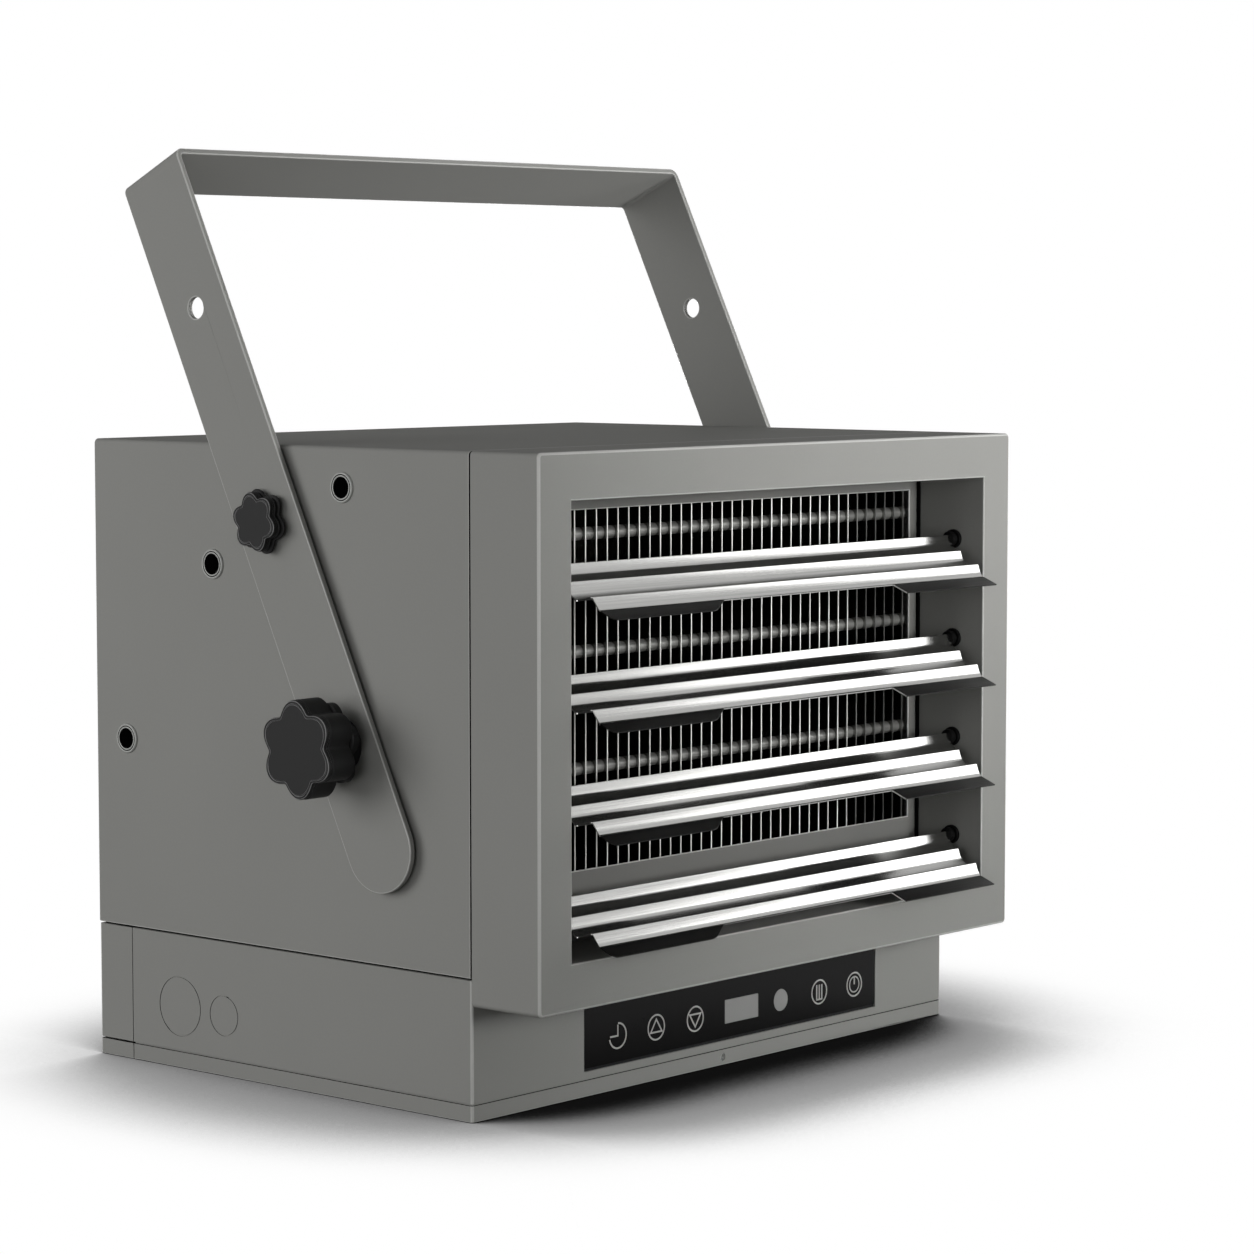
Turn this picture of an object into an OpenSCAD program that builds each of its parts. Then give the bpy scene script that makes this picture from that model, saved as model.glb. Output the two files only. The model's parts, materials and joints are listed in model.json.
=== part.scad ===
/* [Cabinet] */
// Width of the cabinet across the front
body_w = 310; // [280:5:350]
// Depth of the cabinet behind the hood
body_d = 220; // [205:5:260]
// Height from the bottom plate to the top
total_h = 265; // [260:5:295]
// Height of the base that holds the controls
base_h = 57; // [54:1:62]
// Thickness of the painted sheet steel
sheet_t = 1; // [0.8:0.1:1.4]
// Width of the dark seams between the panels
seam_t = 0.8; // [0.6:0.1:1]
// Radius of the folded outer edges
fold_r = 2; // [1.5:0.5:3]
// Width of the flanges folded inwards
flange_w = 8; // [6:1:10]

/* [Hood] */
// Depth of the hood in front of the cabinet
hood_d = 36; // [32:1:42]
// How far the hood hangs below the base seam
hood_drop = 11; // [8:1:14]
// Width of the frame around the hood window
hood_border = 19; // [16:1:24]

/* [Louvres] */
// Distance of the top louvre pivot below the window's upper edge
louvre_drop = 27.5; // [26:0.5:30]
// Height of the lowest louvre pivot above the window's lower edge
louvre_rise = 21.5; // [20:0.5:24]
// Distance of the pivots behind the hood face
louvre_setback = 16; // [14:1:18]
// Gap from a blade's end to the wall beside it
louvre_end_gap = 10; // [8:1:14]
// Wall of the blade extrusion
louvre_t = 1; // [0.8:0.1:1.2]
// Radius of the pivot pins
louvre_pin_r = 2; // [1.5:0.25:2.5]

/* [Heating element] */
// Width of the air window in the bulkhead
outlet_w = 259; // [245:1:262]
// Strip of bulkhead that shows above the air window
outlet_top = 6.5; // [5:0.5:9]
// Strip of bulkhead that shows below the air window
outlet_low = 28.5; // [24:0.5:32]
// Number of fins across the element
fin_count = 39; // [31:2:45]
// Thickness of a fin
fin_t = 0.5; // [0.4:0.1:0.8]
// Depth of the fins in the air stream
fin_d = 26; // [24:1:32]
// Radius of the sheathed element tubes
tube_r = 2.6; // [2.2:0.1:3.5]
// Gap between the floor and the lower edge of the fins
fin_floor_gap = 10; // [9:0.5:12]
// Gap between the fins' upper edge and the top sheet
fin_top_gap = 15.5; // [13:0.5:18]
// Height of the fins above the top tube, and below the lowest
fin_over = 19; // [16:0.5:22]

/* [Fan] */
// Space kept around the fan, from its blade tips to the floor
fan_space = 11.3; // [11.3:0.1:20]
// Gap between the blade tips and the ring
fan_tip_gap = 3; // [2:0.5:4]
// Number of fan blades
blade_count = 5; // [3:1:7]
// Radius of the motor can
motor_r = 40; // [34:1:44]
// Length of the motor can
motor_l = 52; // [44:1:58]

/* [Bracket] */
// Width of the bracket strip
strip_w = 36; // [30:1:40]
// Thickness of the bracket strip
strip_t = 2.5; // [2:0.5:3.5]
// Gap between the cabinet side and a bracket arm
arm_gap = 2.5; // [2.2:0.1:3.5]
// Distance from the pivot to the top of the bracket
bracket_reach = 258.5; // [235:0.5:280]
// Distance from the pivot to the centre of the rounded arm end
arm_tail = 45; // [40:1:55]
// Angle of the bracket from upright, to the rear
bracket_lean = 25.8; // [3:0.1:60]
// Distance from the pivot to the hanging hole of an arm
hang_reach = 194; // [180:1:215]
// Radius of the hanging holes
hang_r = 4.5; // [4:0.5:6]
// Distance of the pivot behind the hood face
pivot_back = 102; // [98:1:110]
// Distance of the pivot below the cabinet's top
pivot_drop = 119.3; // [117:0.1:124]
// Distance from the pivot to the locking knob
lock_reach = 98; // [94:1:104]

/* [Knobs] */
// Radius of the pivot knobs over the lobes
pivot_knob_r = 20; // [18:1:24]
// Depth of the pivot knob head
pivot_knob_d = 14.8; // [12:0.1:18]
// Radius of the locking knobs over the lobes
lock_knob_r = 12.5; // [12.5:0.5:15]
// Depth of the locking knob head
lock_knob_d = 4.2; // [3.6:0.1:6]
// Radius of the threaded studs
stud_r = 3.95; // [3.45:0.05:4]

/* [Control panel] */
// Width of the touch panel window
panel_w = 195; // [180:1:210]
// Height of the touch panel window
panel_h = 34; // [30:1:35]
// Offset of the touch panel from the middle
panel_x = 8.8; // [0:0.1:15]
// Height of the lower edge of the touch panel window
panel_z = 10.2; // [9.5:0.1:12]

/* [Hidden] */
$fn = 48;
LOUVRES = 4;

// Overrun of every cut past the face it leaves
cut = 1;
// Clearance between pieces that are screwed or slipped together
slip = 0.2;
// Radial clearance of a pin or stud that turns in its hole
run = 0.05;
// Gap between flat faces that slide on each other
slide = 0.1;

// Planes of the cabinet, with the origin under the middle of the base
side_x = body_w / 2;
front_y = -body_d / 2;
rear_y = body_d / 2;
hood_y = front_y - hood_d;
base_top = base_h - seam_t / 2;
floor_top = base_h + seam_t / 2;
seam_inset = sheet_t + seam_t;
in_x = side_x - sheet_t;
in_top = total_h - sheet_t;
in_front = front_y + seam_t;

// Hood window
hood_bottom = base_h - hood_drop;
window_x = side_x - hood_border;
window_z0 = hood_bottom + hood_border;
window_z1 = total_h - hood_border;

// Box between two opposite corners
module box(lo, hi) translate(lo) cube(hi - lo);

// Rectangle with round corners, centred across and standing on the axis
module round_rect(w, h, r) {
    translate([-w / 2 + r, 0]) square([w - 2 * r, h]);
    translate([-w / 2, r]) square([w, h - 2 * r]);
    for (x = [-1, 1], z = [r, h - r]) translate([x * (w / 2 - r), z]) circle(r);
}

// Cylinder along X from x0 to x1
module rod_x(r, x0, x1) translate([x0, 0, 0]) rotate([0, 90, 0]) cylinder(r = r, h = x1 - x0);

// Cylinder along Y from y0 to y1
module rod_y(r, y0, y1) translate([0, y0, 0]) rotate([-90, 0, 0]) cylinder(r = r, h = y1 - y0);

// Flat shape drawn in front view, made solid from y0 to y1
module front_plate(y0, y1) translate([0, y1, 0]) rotate([90, 0, 0]) linear_extrude(y1 - y0) children();

// Flat shape drawn as forward and up, made solid across the width w
module across(w) rotate([90, 0, -90]) linear_extrude(w, center = true) children();

// Places of the threaded inserts, as distance from the pivot and angle behind upright
nut_reach = [103, 106, 135];
nut_angle = [2.5, 49.5, 93.3];
pivot_y = hood_y + pivot_back;
pivot_h = total_h - pivot_drop;
lock_y = pivot_y + lock_reach * sin(bracket_lean);
lock_z = pivot_h + lock_reach * cos(bracket_lean);
function free_nut(i) = [0, pivot_y + nut_reach[i] * sin(nut_angle[i]),
    pivot_h + nut_reach[i] * cos(nut_angle[i])];
nut_places = concat([[0, pivot_y, pivot_h], [0, lock_y, lock_z]], [for (i = [0:2]) free_nut(i)]);

// Threaded insert with a thin flange outside the sheet
nut_bore_r = 4;
nut_body_r = 5.4;
nut_flange_r = 6.3;
nut_flange_t = 1;
nut_l = 14;
module rivet_nut() rotate([0, 90, 0]) rotate_extrude() {
    translate([nut_bore_r, 0]) square([nut_flange_r - nut_bore_r, nut_flange_t]);
    translate([nut_bore_r, -nut_l]) square([nut_body_r - nut_bore_r, nut_l]);
}
module rivet_nuts(side) for (p = nut_places)
    translate([side * side_x, p[1], p[2]]) mirror([side < 0 ? 1 : 0, 0, 0]) rivet_nut();
module rivet_nuts_left() color("#b9b9b4") rivet_nuts(-1);
module rivet_nuts_right() color("#b9b9b4") rivet_nuts(1);

// Top and both sides, folded from one sheet
module cabinet_wrap() color("#7b7b78") difference() {
    union() {
        front_plate(in_front, rear_y) difference() {
            round_rect(body_w, total_h, fold_r);
            translate([0, -sheet_t]) round_rect(body_w - 2 * sheet_t, total_h, fold_r - sheet_t);
            translate([-body_w, -cut]) square([2 * body_w, floor_top + cut]);
        }
        // Flanges folded in along the front and along the floor
        front_plate(in_front, in_front + sheet_t) difference() {
            translate([-in_x, floor_top]) square([2 * in_x, in_top - floor_top]);
            translate([-in_x + flange_w, 0]) square([2 * (in_x - flange_w), in_top - flange_w]);
        }
        for (s = [-1, 1])
            box([s > 0 ? in_x - flange_w : -in_x, in_front, floor_top],
                [s > 0 ? in_x : -in_x + flange_w, rear_y - flange_w, floor_top + sheet_t]);
    }
    for (p = nut_places) translate(p) rod_x(nut_body_r + run, -side_x - cut, side_x + cut);
}

// Flat floor between the cabinet and the base, set in so that the seam shows dark
cable_hole_r = 18;
cable_hole_y = 60;
module chassis_floor() color("#4a4a47") difference() {
    box([-side_x + seam_inset, front_y + seam_inset, base_top],
        [side_x - seam_inset, rear_y - seam_inset, floor_top]);
    for (x = [-1, 1]) translate([x * side_x / 2, cable_hole_y, base_top - cut])
        cylinder(r = cable_hole_r, h = seam_t + 2 * cut);
}

// Bulkhead behind the hood, with the window that the warm air leaves by
outlet_z1 = window_z1 - outlet_top;
outlet_z0 = window_z0 + outlet_low;
module front_bulkhead() color("#4a4a47") {
    front_plate(front_y, in_front) difference() {
        translate([-side_x + seam_inset, floor_top])
            square([2 * (side_x - seam_inset), total_h - seam_inset - floor_top]);
        translate([-outlet_w / 2, outlet_z0]) square([outlet_w, outlet_z1 - outlet_z0]);
    }
}

// Hood: a folded tray with a tunnel round its window
bush_bore_r = louvre_pin_r + run;
bush_wall = 1.2;
bush_body_r = bush_bore_r + bush_wall;
louvre_y = hood_y + louvre_setback;
hood_h = total_h - hood_bottom;
tunnel_w = 2 * window_x;
tunnel_h = window_z1 - window_z0;
louvre_pitch = (tunnel_h - louvre_rise - louvre_drop) / (LOUVRES - 1);
function louvre_z(i) = window_z0 + louvre_rise + (LOUVRES - i) * louvre_pitch;
module front_hood() color("#8f8e8b") difference() {
    union() {
        front_plate(hood_y, front_y) translate([0, hood_bottom]) difference() {
            round_rect(body_w, hood_h, fold_r);
            translate([0, sheet_t])
                round_rect(body_w - 2 * sheet_t, hood_h - 2 * sheet_t, fold_r - sheet_t);
        }
        // Face with its window
        front_plate(hood_y, hood_y + sheet_t) translate([0, hood_bottom]) difference() {
            round_rect(body_w, hood_h, fold_r);
            translate([-window_x, hood_border]) square([tunnel_w, tunnel_h]);
        }
        // Tunnel walls, which end just short of the bulkhead
        front_plate(hood_y, front_y - seam_t) translate([0, window_z0]) difference() {
            translate([-window_x - sheet_t, -sheet_t])
                square([tunnel_w + 2 * sheet_t, tunnel_h + 2 * sheet_t]);
            translate([-window_x, 0]) square([tunnel_w, tunnel_h]);
        }
        // Flange folded in at the back, which sits on the bulkhead
        front_plate(front_y - sheet_t, front_y) translate([0, hood_bottom]) difference() {
            translate([-in_x, sheet_t]) square([2 * in_x, hood_h - 2 * sheet_t]);
            translate([-in_x + flange_w, flange_w])
                square([2 * (in_x - flange_w), hood_h - 2 * flange_w]);
        }
    }
    for (i = [1:LOUVRES]) translate([0, louvre_y, louvre_z(i)])
        rod_x(bush_body_r + run, -window_x - 2 * sheet_t, window_x + 2 * sheet_t);
}

// Flanged bush of each louvre pivot, pressed through the tunnel wall
bush_flange_r = 4.2;
bush_flange_t = 1.6;
bush_tail = 2;
module louvre_bush() rotate([0, -90, 0]) rotate_extrude() {
    translate([bush_bore_r, 0]) square([bush_flange_r - bush_bore_r, bush_flange_t]);
    translate([bush_bore_r, -sheet_t - bush_tail])
        square([bush_body_r - bush_bore_r, sheet_t + bush_tail]);
}
module louvre_bushes() color("#151515") for (i = [1:LOUVRES], s = [-1, 1])
    translate([s * window_x, louvre_y, louvre_z(i)]) mirror([s < 0 ? 1 : 0, 0, 0]) louvre_bush();

// Louvre blade section: three steep faces, each one tooth further forward and down
nose = [22.6, -14.9];
tip = [30.4, -18.3];
louvre_path = [[-2.6, 0.4], [1, 2], [2.1, -1.5], [3, -2.8], [5.8, -5.6], [10.6, -4.2], [11.8, -7.7],
    [12.9, -9.2], [15.4, -11.3], [20.2, -9.8], [21.4, -13.3], nose, tip];
function unit(v) = v / norm(v);
function turned(v) = [-v[1], v[0]];
function mitre(p, i) = let (
    a = i > 0 ? unit(p[i] - p[i - 1]) : unit(p[1] - p[0]),
    b = i < len(p) - 1 ? unit(p[i + 1] - p[i]) : a,
    m = unit(turned(a) + turned(b))) m / (m * turned(a));
function folded(p, t) = concat(p, [for (i = [len(p) - 1:-1:0]) p[i] - t * mitre(p, i)]);
blade_l = tunnel_w - 2 * louvre_end_gap;
// The flange below the nose is cut away between its left and right lengths
flange_left = 74;
flange_right = 65;
flange_slant = 13;
nose_lip = 0.8;
notch_x0 = flange_left - blade_l / 2;
notch_x1 = blade_l / 2 - flange_right;
module flange_notch() translate([0, 0, tip[1] - louvre_t - cut]) linear_extrude(nose[1] - tip[1] + 2 * cut)
    polygon([[notch_x0, -nose[0] - nose_lip], [notch_x1, -nose[0] - nose_lip],
        [notch_x1, -tip[0] - cut], [notch_x0 - flange_slant, -tip[0] - cut]]);
module louvre(i) color("#d8d8d6") translate([0, louvre_y, louvre_z(i)]) difference() {
    across(blade_l) polygon(folded(louvre_path, louvre_t));
    flange_notch();
}

// Moulded end plug of a blade, with the pin that turns in the bush
plug_r = 3.2;
module louvre_pins(i) color("#151515") for (s = [-1, 1])
    translate([0, louvre_y, louvre_z(i)]) mirror([s < 0 ? 1 : 0, 0, 0]) {
        rod_x(plug_r, blade_l / 2, window_x - bush_flange_t - slide);
        rod_x(louvre_pin_r, blade_l / 2, window_x + sheet_t + bush_tail);
    }

// Base: front and sides in one folded sheet, standing in the tray of the bottom plate
tray_h = 6.6;
base_z0 = tray_h + seam_t;
rear_lap = 21;
knock_y = [59.5, 32.5];
knock_z = [26.1, 25.4];
knock_r = [12.6, 8.4];
score_w = 0.4;
score_d = 0.3;
panel_z1 = panel_z + panel_h;
base_seam_y = rear_y - rear_lap;
module base_shell(inset, z0, z1) difference() {
    box([-side_x + inset, front_y + inset, z0], [side_x - inset, base_seam_y, z1]);
    box([-side_x + inset + sheet_t, front_y + inset + sheet_t, z0 - cut],
        [side_x - inset - sheet_t, base_seam_y + cut, z1 + cut]);
}
module base_housing() color("#7b7b78") difference() {
    union() {
        base_shell(0, base_z0, base_top);
        base_shell(sheet_t + slide, sheet_t + slide, base_z0 + sheet_t);
        // Ledge that joins the skirt to the wall above it
        difference() {
            box([-side_x, front_y, base_z0], [side_x, base_seam_y, base_z0 + sheet_t]);
            box([-side_x + 2 * sheet_t, front_y + 2 * sheet_t, base_z0 - cut],
                [side_x - 2 * sheet_t, base_seam_y + cut, base_z0 + sheet_t + cut]);
        }
        // Flange under the floor
        difference() {
            box([-in_x, front_y + sheet_t, base_top - sheet_t], [in_x, base_seam_y, base_top]);
            box([-in_x + flange_w, front_y + sheet_t + flange_w, base_top - sheet_t - cut],
                [in_x - flange_w, base_seam_y + cut, base_top + cut]);
        }
    }
    box([panel_x - panel_w / 2, front_y - cut, panel_z],
        [panel_x + panel_w / 2, front_y + sheet_t, panel_z1]);
    // Scored rings of the two knock-out discs
    for (i = [0, 1]) translate([0, knock_y[i], knock_z[i]]) difference() {
        rod_x(knock_r[i] + score_w / 2, -side_x - cut, -side_x + score_d);
        rod_x(knock_r[i] - score_w / 2, -side_x - 2 * cut, -side_x + score_d + cut);
    }
    screw_hole();
}

// Rear cover of the base, which wraps both corners
lap_w = 9;
module base_rear_cover() color("#7b7b78") {
    difference() {
        box([-side_x, base_seam_y + seam_t / 2, base_z0], [side_x, rear_y, base_top]);
        box([-in_x, base_seam_y - cut, base_z0 - cut], [in_x, rear_y - sheet_t, base_top + cut]);
    }
    // Laps that reach inside the housing walls
    for (s = [-1, 1])
        box([s > 0 ? in_x - sheet_t - slide : -in_x + slide, base_seam_y - lap_w, base_z0 + 2 * sheet_t],
            [s > 0 ? in_x - slide : -in_x + sheet_t + slide, rear_y - sheet_t, base_top - 2 * sheet_t]);
    box([-in_x, rear_y - sheet_t - flange_w, base_top - sheet_t], [in_x, rear_y - sheet_t, base_top]);
    box([-in_x + flange_w, rear_y - 2 * sheet_t - slide, sheet_t + slide],
        [in_x - flange_w, rear_y - sheet_t - slide, base_z0 + 2 * sheet_t]);
    box([-in_x + flange_w, rear_y - 2 * sheet_t - slide, base_z0 + sheet_t],
        [in_x - flange_w, rear_y - sheet_t, base_z0 + 2 * sheet_t]);
}

// Bottom plate: a shallow tray whose rim is screwed to the base
screw_r = 1.5;
screw_z = 3.4;
module screw_hole() translate([0, 0, screw_z]) rod_y(screw_r + run, front_y - cut, front_y + 4 * sheet_t);
module bottom_plate() color("#7b7b78") difference() {
    box([-side_x, front_y, 0], [side_x, rear_y, tray_h]);
    box([-in_x, front_y + sheet_t, sheet_t], [in_x, rear_y - sheet_t, tray_h + cut]);
    screw_hole();
}

// Touch panel: a black lens on a carrier behind the sheet
lens_t = 0.8;
lens_gap = 0.5;
lens_drop = 1.3;
carrier_t = 2;
carrier_lap = 2;
boss_r = 3;
boss_l = 4;
boss_inset = 8;
display_x = 12.8;
display_w = 22.5;
display_h = 10.2;
key_z = 22.4;
receiver_x = 39.5;
receiver_r = 4.8;
lens_back = front_y + sheet_t;
boss_end = lens_back + carrier_t + boss_l;
module panel_carrier() color("#1a1a1a") {
    box([panel_x - panel_w / 2 - carrier_lap, lens_back, base_z0 + sheet_t + slide],
        [panel_x + panel_w / 2 + carrier_lap, lens_back + carrier_t, panel_z1 + carrier_lap]);
    for (x = [-1, 1], z = [panel_z + boss_inset, panel_z1 - boss_inset])
        translate([panel_x + x * (panel_w / 2 - boss_inset), 0, z])
            rod_y(boss_r, lens_back + carrier_t, boss_end);
}
module control_glass() color("#1a1a1a") difference() {
    box([panel_x - panel_w / 2 + lens_gap, lens_back - lens_t, panel_z + lens_drop],
        [panel_x + panel_w / 2 - lens_gap, lens_back, panel_z1 - lens_gap]);
    box([display_x - display_w / 2, lens_back - sheet_t, key_z - display_h / 2],
        [display_x + display_w / 2, lens_back + cut, key_z + display_h / 2]);
    translate([receiver_x, 0, key_z]) rod_y(receiver_r, lens_back - sheet_t, lens_back + cut);
}
module display_window() color("#a5a5a3")
    box([display_x - display_w / 2 + run, lens_back - lens_t, key_z - display_h / 2 + run],
        [display_x + display_w / 2 - run, lens_back, key_z + display_h / 2 - run]);
module receiver_window() color("#a5a5a3") translate([receiver_x, 0, key_z])
    rod_y(receiver_r - run, lens_back - lens_t, lens_back);

// Circuit boards and terminals in the base
board_t = 1.6;
chip_w = 24;
chip_h = 14;
chip_d = 6;
module control_board() color("#2f6b3a") {
    box([panel_x - panel_w / 2 + boss_inset / 2, boss_end, panel_z + sheet_t],
        [panel_x + panel_w / 2 - boss_inset / 2, boss_end + board_t, panel_z1 - sheet_t]);
    box([display_x - chip_w / 2, boss_end + board_t, key_z - chip_h / 2],
        [display_x + chip_w / 2, boss_end + board_t + chip_d, key_z + chip_h / 2]);
}
relay_w = 110;
relay_d = 60;
relay_x = 20;
relay_y = 20;
post_h = 5;
post_r = 3;
relay_size = [19, 15.5, 20];
relay_gap = 26;
module relay_board() color("#2f6b3a") translate([relay_x, relay_y, sheet_t]) {
    for (x = [-1, 1], y = [-1, 1])
        translate([x * (relay_w / 2 - post_r), y * (relay_d / 2 - post_r), 0])
            cylinder(r = post_r, h = post_h);
    box([-relay_w / 2, -relay_d / 2, post_h], [relay_w / 2, relay_d / 2, post_h + board_t]);
    for (i = [-1:1]) translate([i * relay_gap - relay_size[0] / 2, -relay_size[1] / 2, post_h + board_t])
        cube(relay_size);
}
terminal_size = [46, 24, 18];
terminal_x = -100;
terminal_y = 45;
terminal_pitch = 14;
terminal_r = 4;
terminal_deep = 9;
module terminal_block() color("#d9d4c4") translate([terminal_x, terminal_y, sheet_t]) difference() {
    translate([-terminal_size[0] / 2, -terminal_size[1] / 2, 0]) cube(terminal_size);
    for (i = [-1:1]) translate([i * terminal_pitch, 0, terminal_size[2] - terminal_deep])
        cylinder(r = terminal_r, h = terminal_deep + cut);
}

// Finned heating element: hairpin tubes through a stack of fins
fin_front = in_front + slip;
fin_back = fin_front + fin_d;
fin_pitch = outlet_w / fin_count;
tube_in = 1.3;
tube_y = [fin_front + tube_r + tube_in, fin_back - tube_r - tube_in];
fin_z0 = floor_top + fin_floor_gap;
fin_z1 = in_top - fin_top_gap;
tube_pitch = (fin_z1 - fin_z0 - 2 * fin_over) / (LOUVRES - 1);
function tube_z(i) = fin_z1 - fin_over - (i - 1) * tube_pitch;
module tube_holes(x0, x1) for (i = [1:LOUVRES], y = tube_y)
    translate([0, y, tube_z(i)]) rod_x(tube_r + run, x0, x1);
module element_fins() color("#9a9a98") difference() {
    for (i = [0:fin_count - 1]) let (x = (i - (fin_count - 1) / 2) * fin_pitch)
        box([x - fin_t / 2, fin_front, fin_z0], [x + fin_t / 2, fin_back, fin_z1]);
    tube_holes(-outlet_w / 2, outlet_w / 2);
}
plate_gap = 3;
plate_x = outlet_w / 2 + plate_gap;
tube_out = 6;
tube_end = plate_x + tube_out;
pin_l = 6;
pin_r = 1.6;
module element_tube(i) color("#8a8a88") translate([0, 0, tube_z(i)]) {
    for (y = tube_y) translate([0, y, 0]) {
        rod_x(tube_r, -tube_end - sheet_t, tube_end);
        rod_x(pin_r, -tube_end - sheet_t - pin_l, -tube_end - sheet_t);
    }
    translate([tube_end, (tube_y[0] + tube_y[1]) / 2, 0]) rotate([0, 0, -90])
        rotate_extrude(angle = 180) translate([(tube_y[1] - tube_y[0]) / 2, 0]) circle(tube_r);
}
module element_end_plates() color("#a9a9a6") difference() {
    for (s = [-1, 1]) mirror([s < 0 ? 1 : 0, 0, 0]) {
        box([plate_x, in_front, fin_z0], [plate_x + sheet_t, fin_back, fin_z1]);
        box([plate_x, in_front, fin_z0], [plate_x + flange_w, in_front + sheet_t, fin_z1]);
    }
    tube_holes(-side_x, side_x);
}
// Round thermostat that stops the heat, on the bulkhead below the fins
cutout_r = 3.5;
cutout_t = 5;
module thermal_cutout() color("#c9c9c4") translate([0, 0, (floor_top + fin_z0) / 2]) {
    rod_y(cutout_r, in_front, in_front + cutout_t);
    rod_y(cutout_r / 2, in_front + cutout_t, in_front + 2 * cutout_t);
}

// Fan ring and the plate that carries it
fan_z = (floor_top + in_top) / 2;
fan_r = (in_top - floor_top) / 2 - fan_space;
ring_r = fan_r + fan_tip_gap;
ring_t = 1.5;
ring_d = 34;
shroud_gap = 36;
shroud_y = fin_back + shroud_gap;
lip_r = 4;
// Clearance of the cut-outs round the inserts
notch_gap = 1.5;
module fan_shroud() color("#3b3b38") difference() {
    fan_plate();
    for (p = nut_places, s = [-1, 1]) mirror([s < 0 ? 1 : 0, 0, 0]) translate(p)
        rod_x(nut_body_r + notch_gap, side_x - nut_l - notch_gap, side_x);
}
module fan_plate() {
    front_plate(shroud_y, shroud_y + sheet_t) difference() {
        translate([-in_x + slip, floor_top + sheet_t + slip])
            square([2 * (in_x - slip), in_top - floor_top - sheet_t - 2 * slip]);
        translate([0, fan_z]) circle(ring_r);
    }
    translate([0, shroud_y, fan_z]) rotate([-90, 0, 0]) rotate_extrude() {
        translate([ring_r, 0]) square([ring_t, ring_d]);
        translate([ring_r + lip_r, ring_d]) difference() {
            circle(lip_r);
            circle(lip_r - ring_t);
            translate([-2 * lip_r, -2 * lip_r]) square([4 * lip_r, 2 * lip_r]);
        }
    }
    // Feet folded back at both sides, screwed to the cabinet walls
    for (s = [-1, 1]) mirror([s < 0 ? 1 : 0, 0, 0])
        box([in_x - slip - sheet_t, shroud_y, floor_top + 2 * flange_w],
            [in_x - slip, shroud_y + flange_w, in_top - 2 * flange_w]);
}

// Fan: cambered blades on a hub
hub_r = 22;
hub_l = 24;
shaft_r = 4;
blade_t = 1.5;
blade_w = 62;
camber_r = 70;
blade_pitch = 28;
fan_y = shroud_y + ring_d / 2;
module blade() intersection() {
    translate([0, 0, hub_r - ring_t]) rotate([0, 0, blade_pitch])
        linear_extrude(fan_r) translate([0, -camber_r + blade_t]) intersection() {
            difference() {
                circle(camber_r);
                circle(camber_r - blade_t);
            }
            translate([-blade_w / 2, 0]) square([blade_w, 2 * camber_r]);
        }
    rotate([-90, 0, 0]) cylinder(r = fan_r, h = 2 * fan_r, center = true);
    rotate([0, blade_w / 4, 0]) translate([0, 0, fan_r / 2 + sheet_t])
        rotate([-90, 0, 0]) cylinder(r = fan_r / 2 + sheet_t, h = 2 * fan_r, center = true);
}
module fan_blade() color("#55564f") translate([0, fan_y, fan_z]) difference() {
    union() {
        rod_y(hub_r, -hub_l / 2, hub_l / 2);
        for (k = [0:blade_count - 1]) rotate([0, k * 360 / blade_count, 0]) blade();
    }
    rod_y(shaft_r + run, -hub_l, hub_l);
}

// Motor behind the fan, on a strap between the cabinet walls
bell_l = 6;
boss_w = 14;
boss_out = 8;
motor_y = fan_y + hub_l / 2 + 2 * boss_out;
strap_h = 40;
strap_t = 2;
module fan_motor() color("#6d6d6a") translate([0, motor_y, fan_z]) difference() {
    union() {
        rod_y(motor_r, bell_l, motor_l - bell_l);
        rod_y(motor_r - strap_t, 0, motor_l);
        rod_y(boss_w, -boss_out, 0);
    }
    rod_y(shaft_r + run, -boss_out - cut, motor_l / 2);
}
module motor_shaft() color("#c9c9c6") translate([0, 0, fan_z])
    rod_y(shaft_r, fan_y - hub_l / 2 - boss_out / 2, motor_y + motor_l / 2 - strap_t);
mount_y = motor_y + motor_l;
module motor_mount() color("#4a4a47") {
    box([-in_x + slip, mount_y, fan_z - strap_h / 2], [in_x - slip, mount_y + strap_t, fan_z + strap_h / 2]);
    for (s = [-1, 1]) mirror([s < 0 ? 1 : 0, 0, 0])
        box([in_x - slip - strap_t, mount_y, fan_z - strap_h / 2],
            [in_x - slip, mount_y + 2 * flange_w, fan_z + strap_h / 2]);
}

// Rear panel with its round air inlet and the stamped guard behind it
guard_r = fan_r;
guard_t = 1.5;
wire_w = 2.4;
arm_w = 5;
ring_step = 9;
guard_rings = floor((guard_r - ring_step) / ring_step);
guard_y = rear_y - sheet_t - guard_t;
module rear_panel() color("#7b7b78") difference() {
    union() {
        front_plate(rear_y - sheet_t, rear_y)
            translate([-in_x + slip, floor_top]) square([2 * (in_x - slip), in_top - floor_top - slip]);
        for (s = [-1, 1]) mirror([s < 0 ? 1 : 0, 0, 0])
            box([in_x - slip - sheet_t, rear_y - flange_w, floor_top],
                [in_x - slip, rear_y, in_top - slip]);
        box([-in_x + slip, rear_y - flange_w, floor_top], [in_x - slip, rear_y, floor_top + sheet_t]);
    }
    translate([0, 0, fan_z]) rod_y(guard_r, rear_y - 2 * sheet_t, rear_y + cut);
    for (p = guard_screw_places) translate(p) rod_y(screw_r + run, rear_y - 2 * sheet_t, rear_y + cut);
}
module guard_ring(r) difference() {
    circle(r + wire_w / 2);
    circle(r - wire_w / 2);
}
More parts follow.
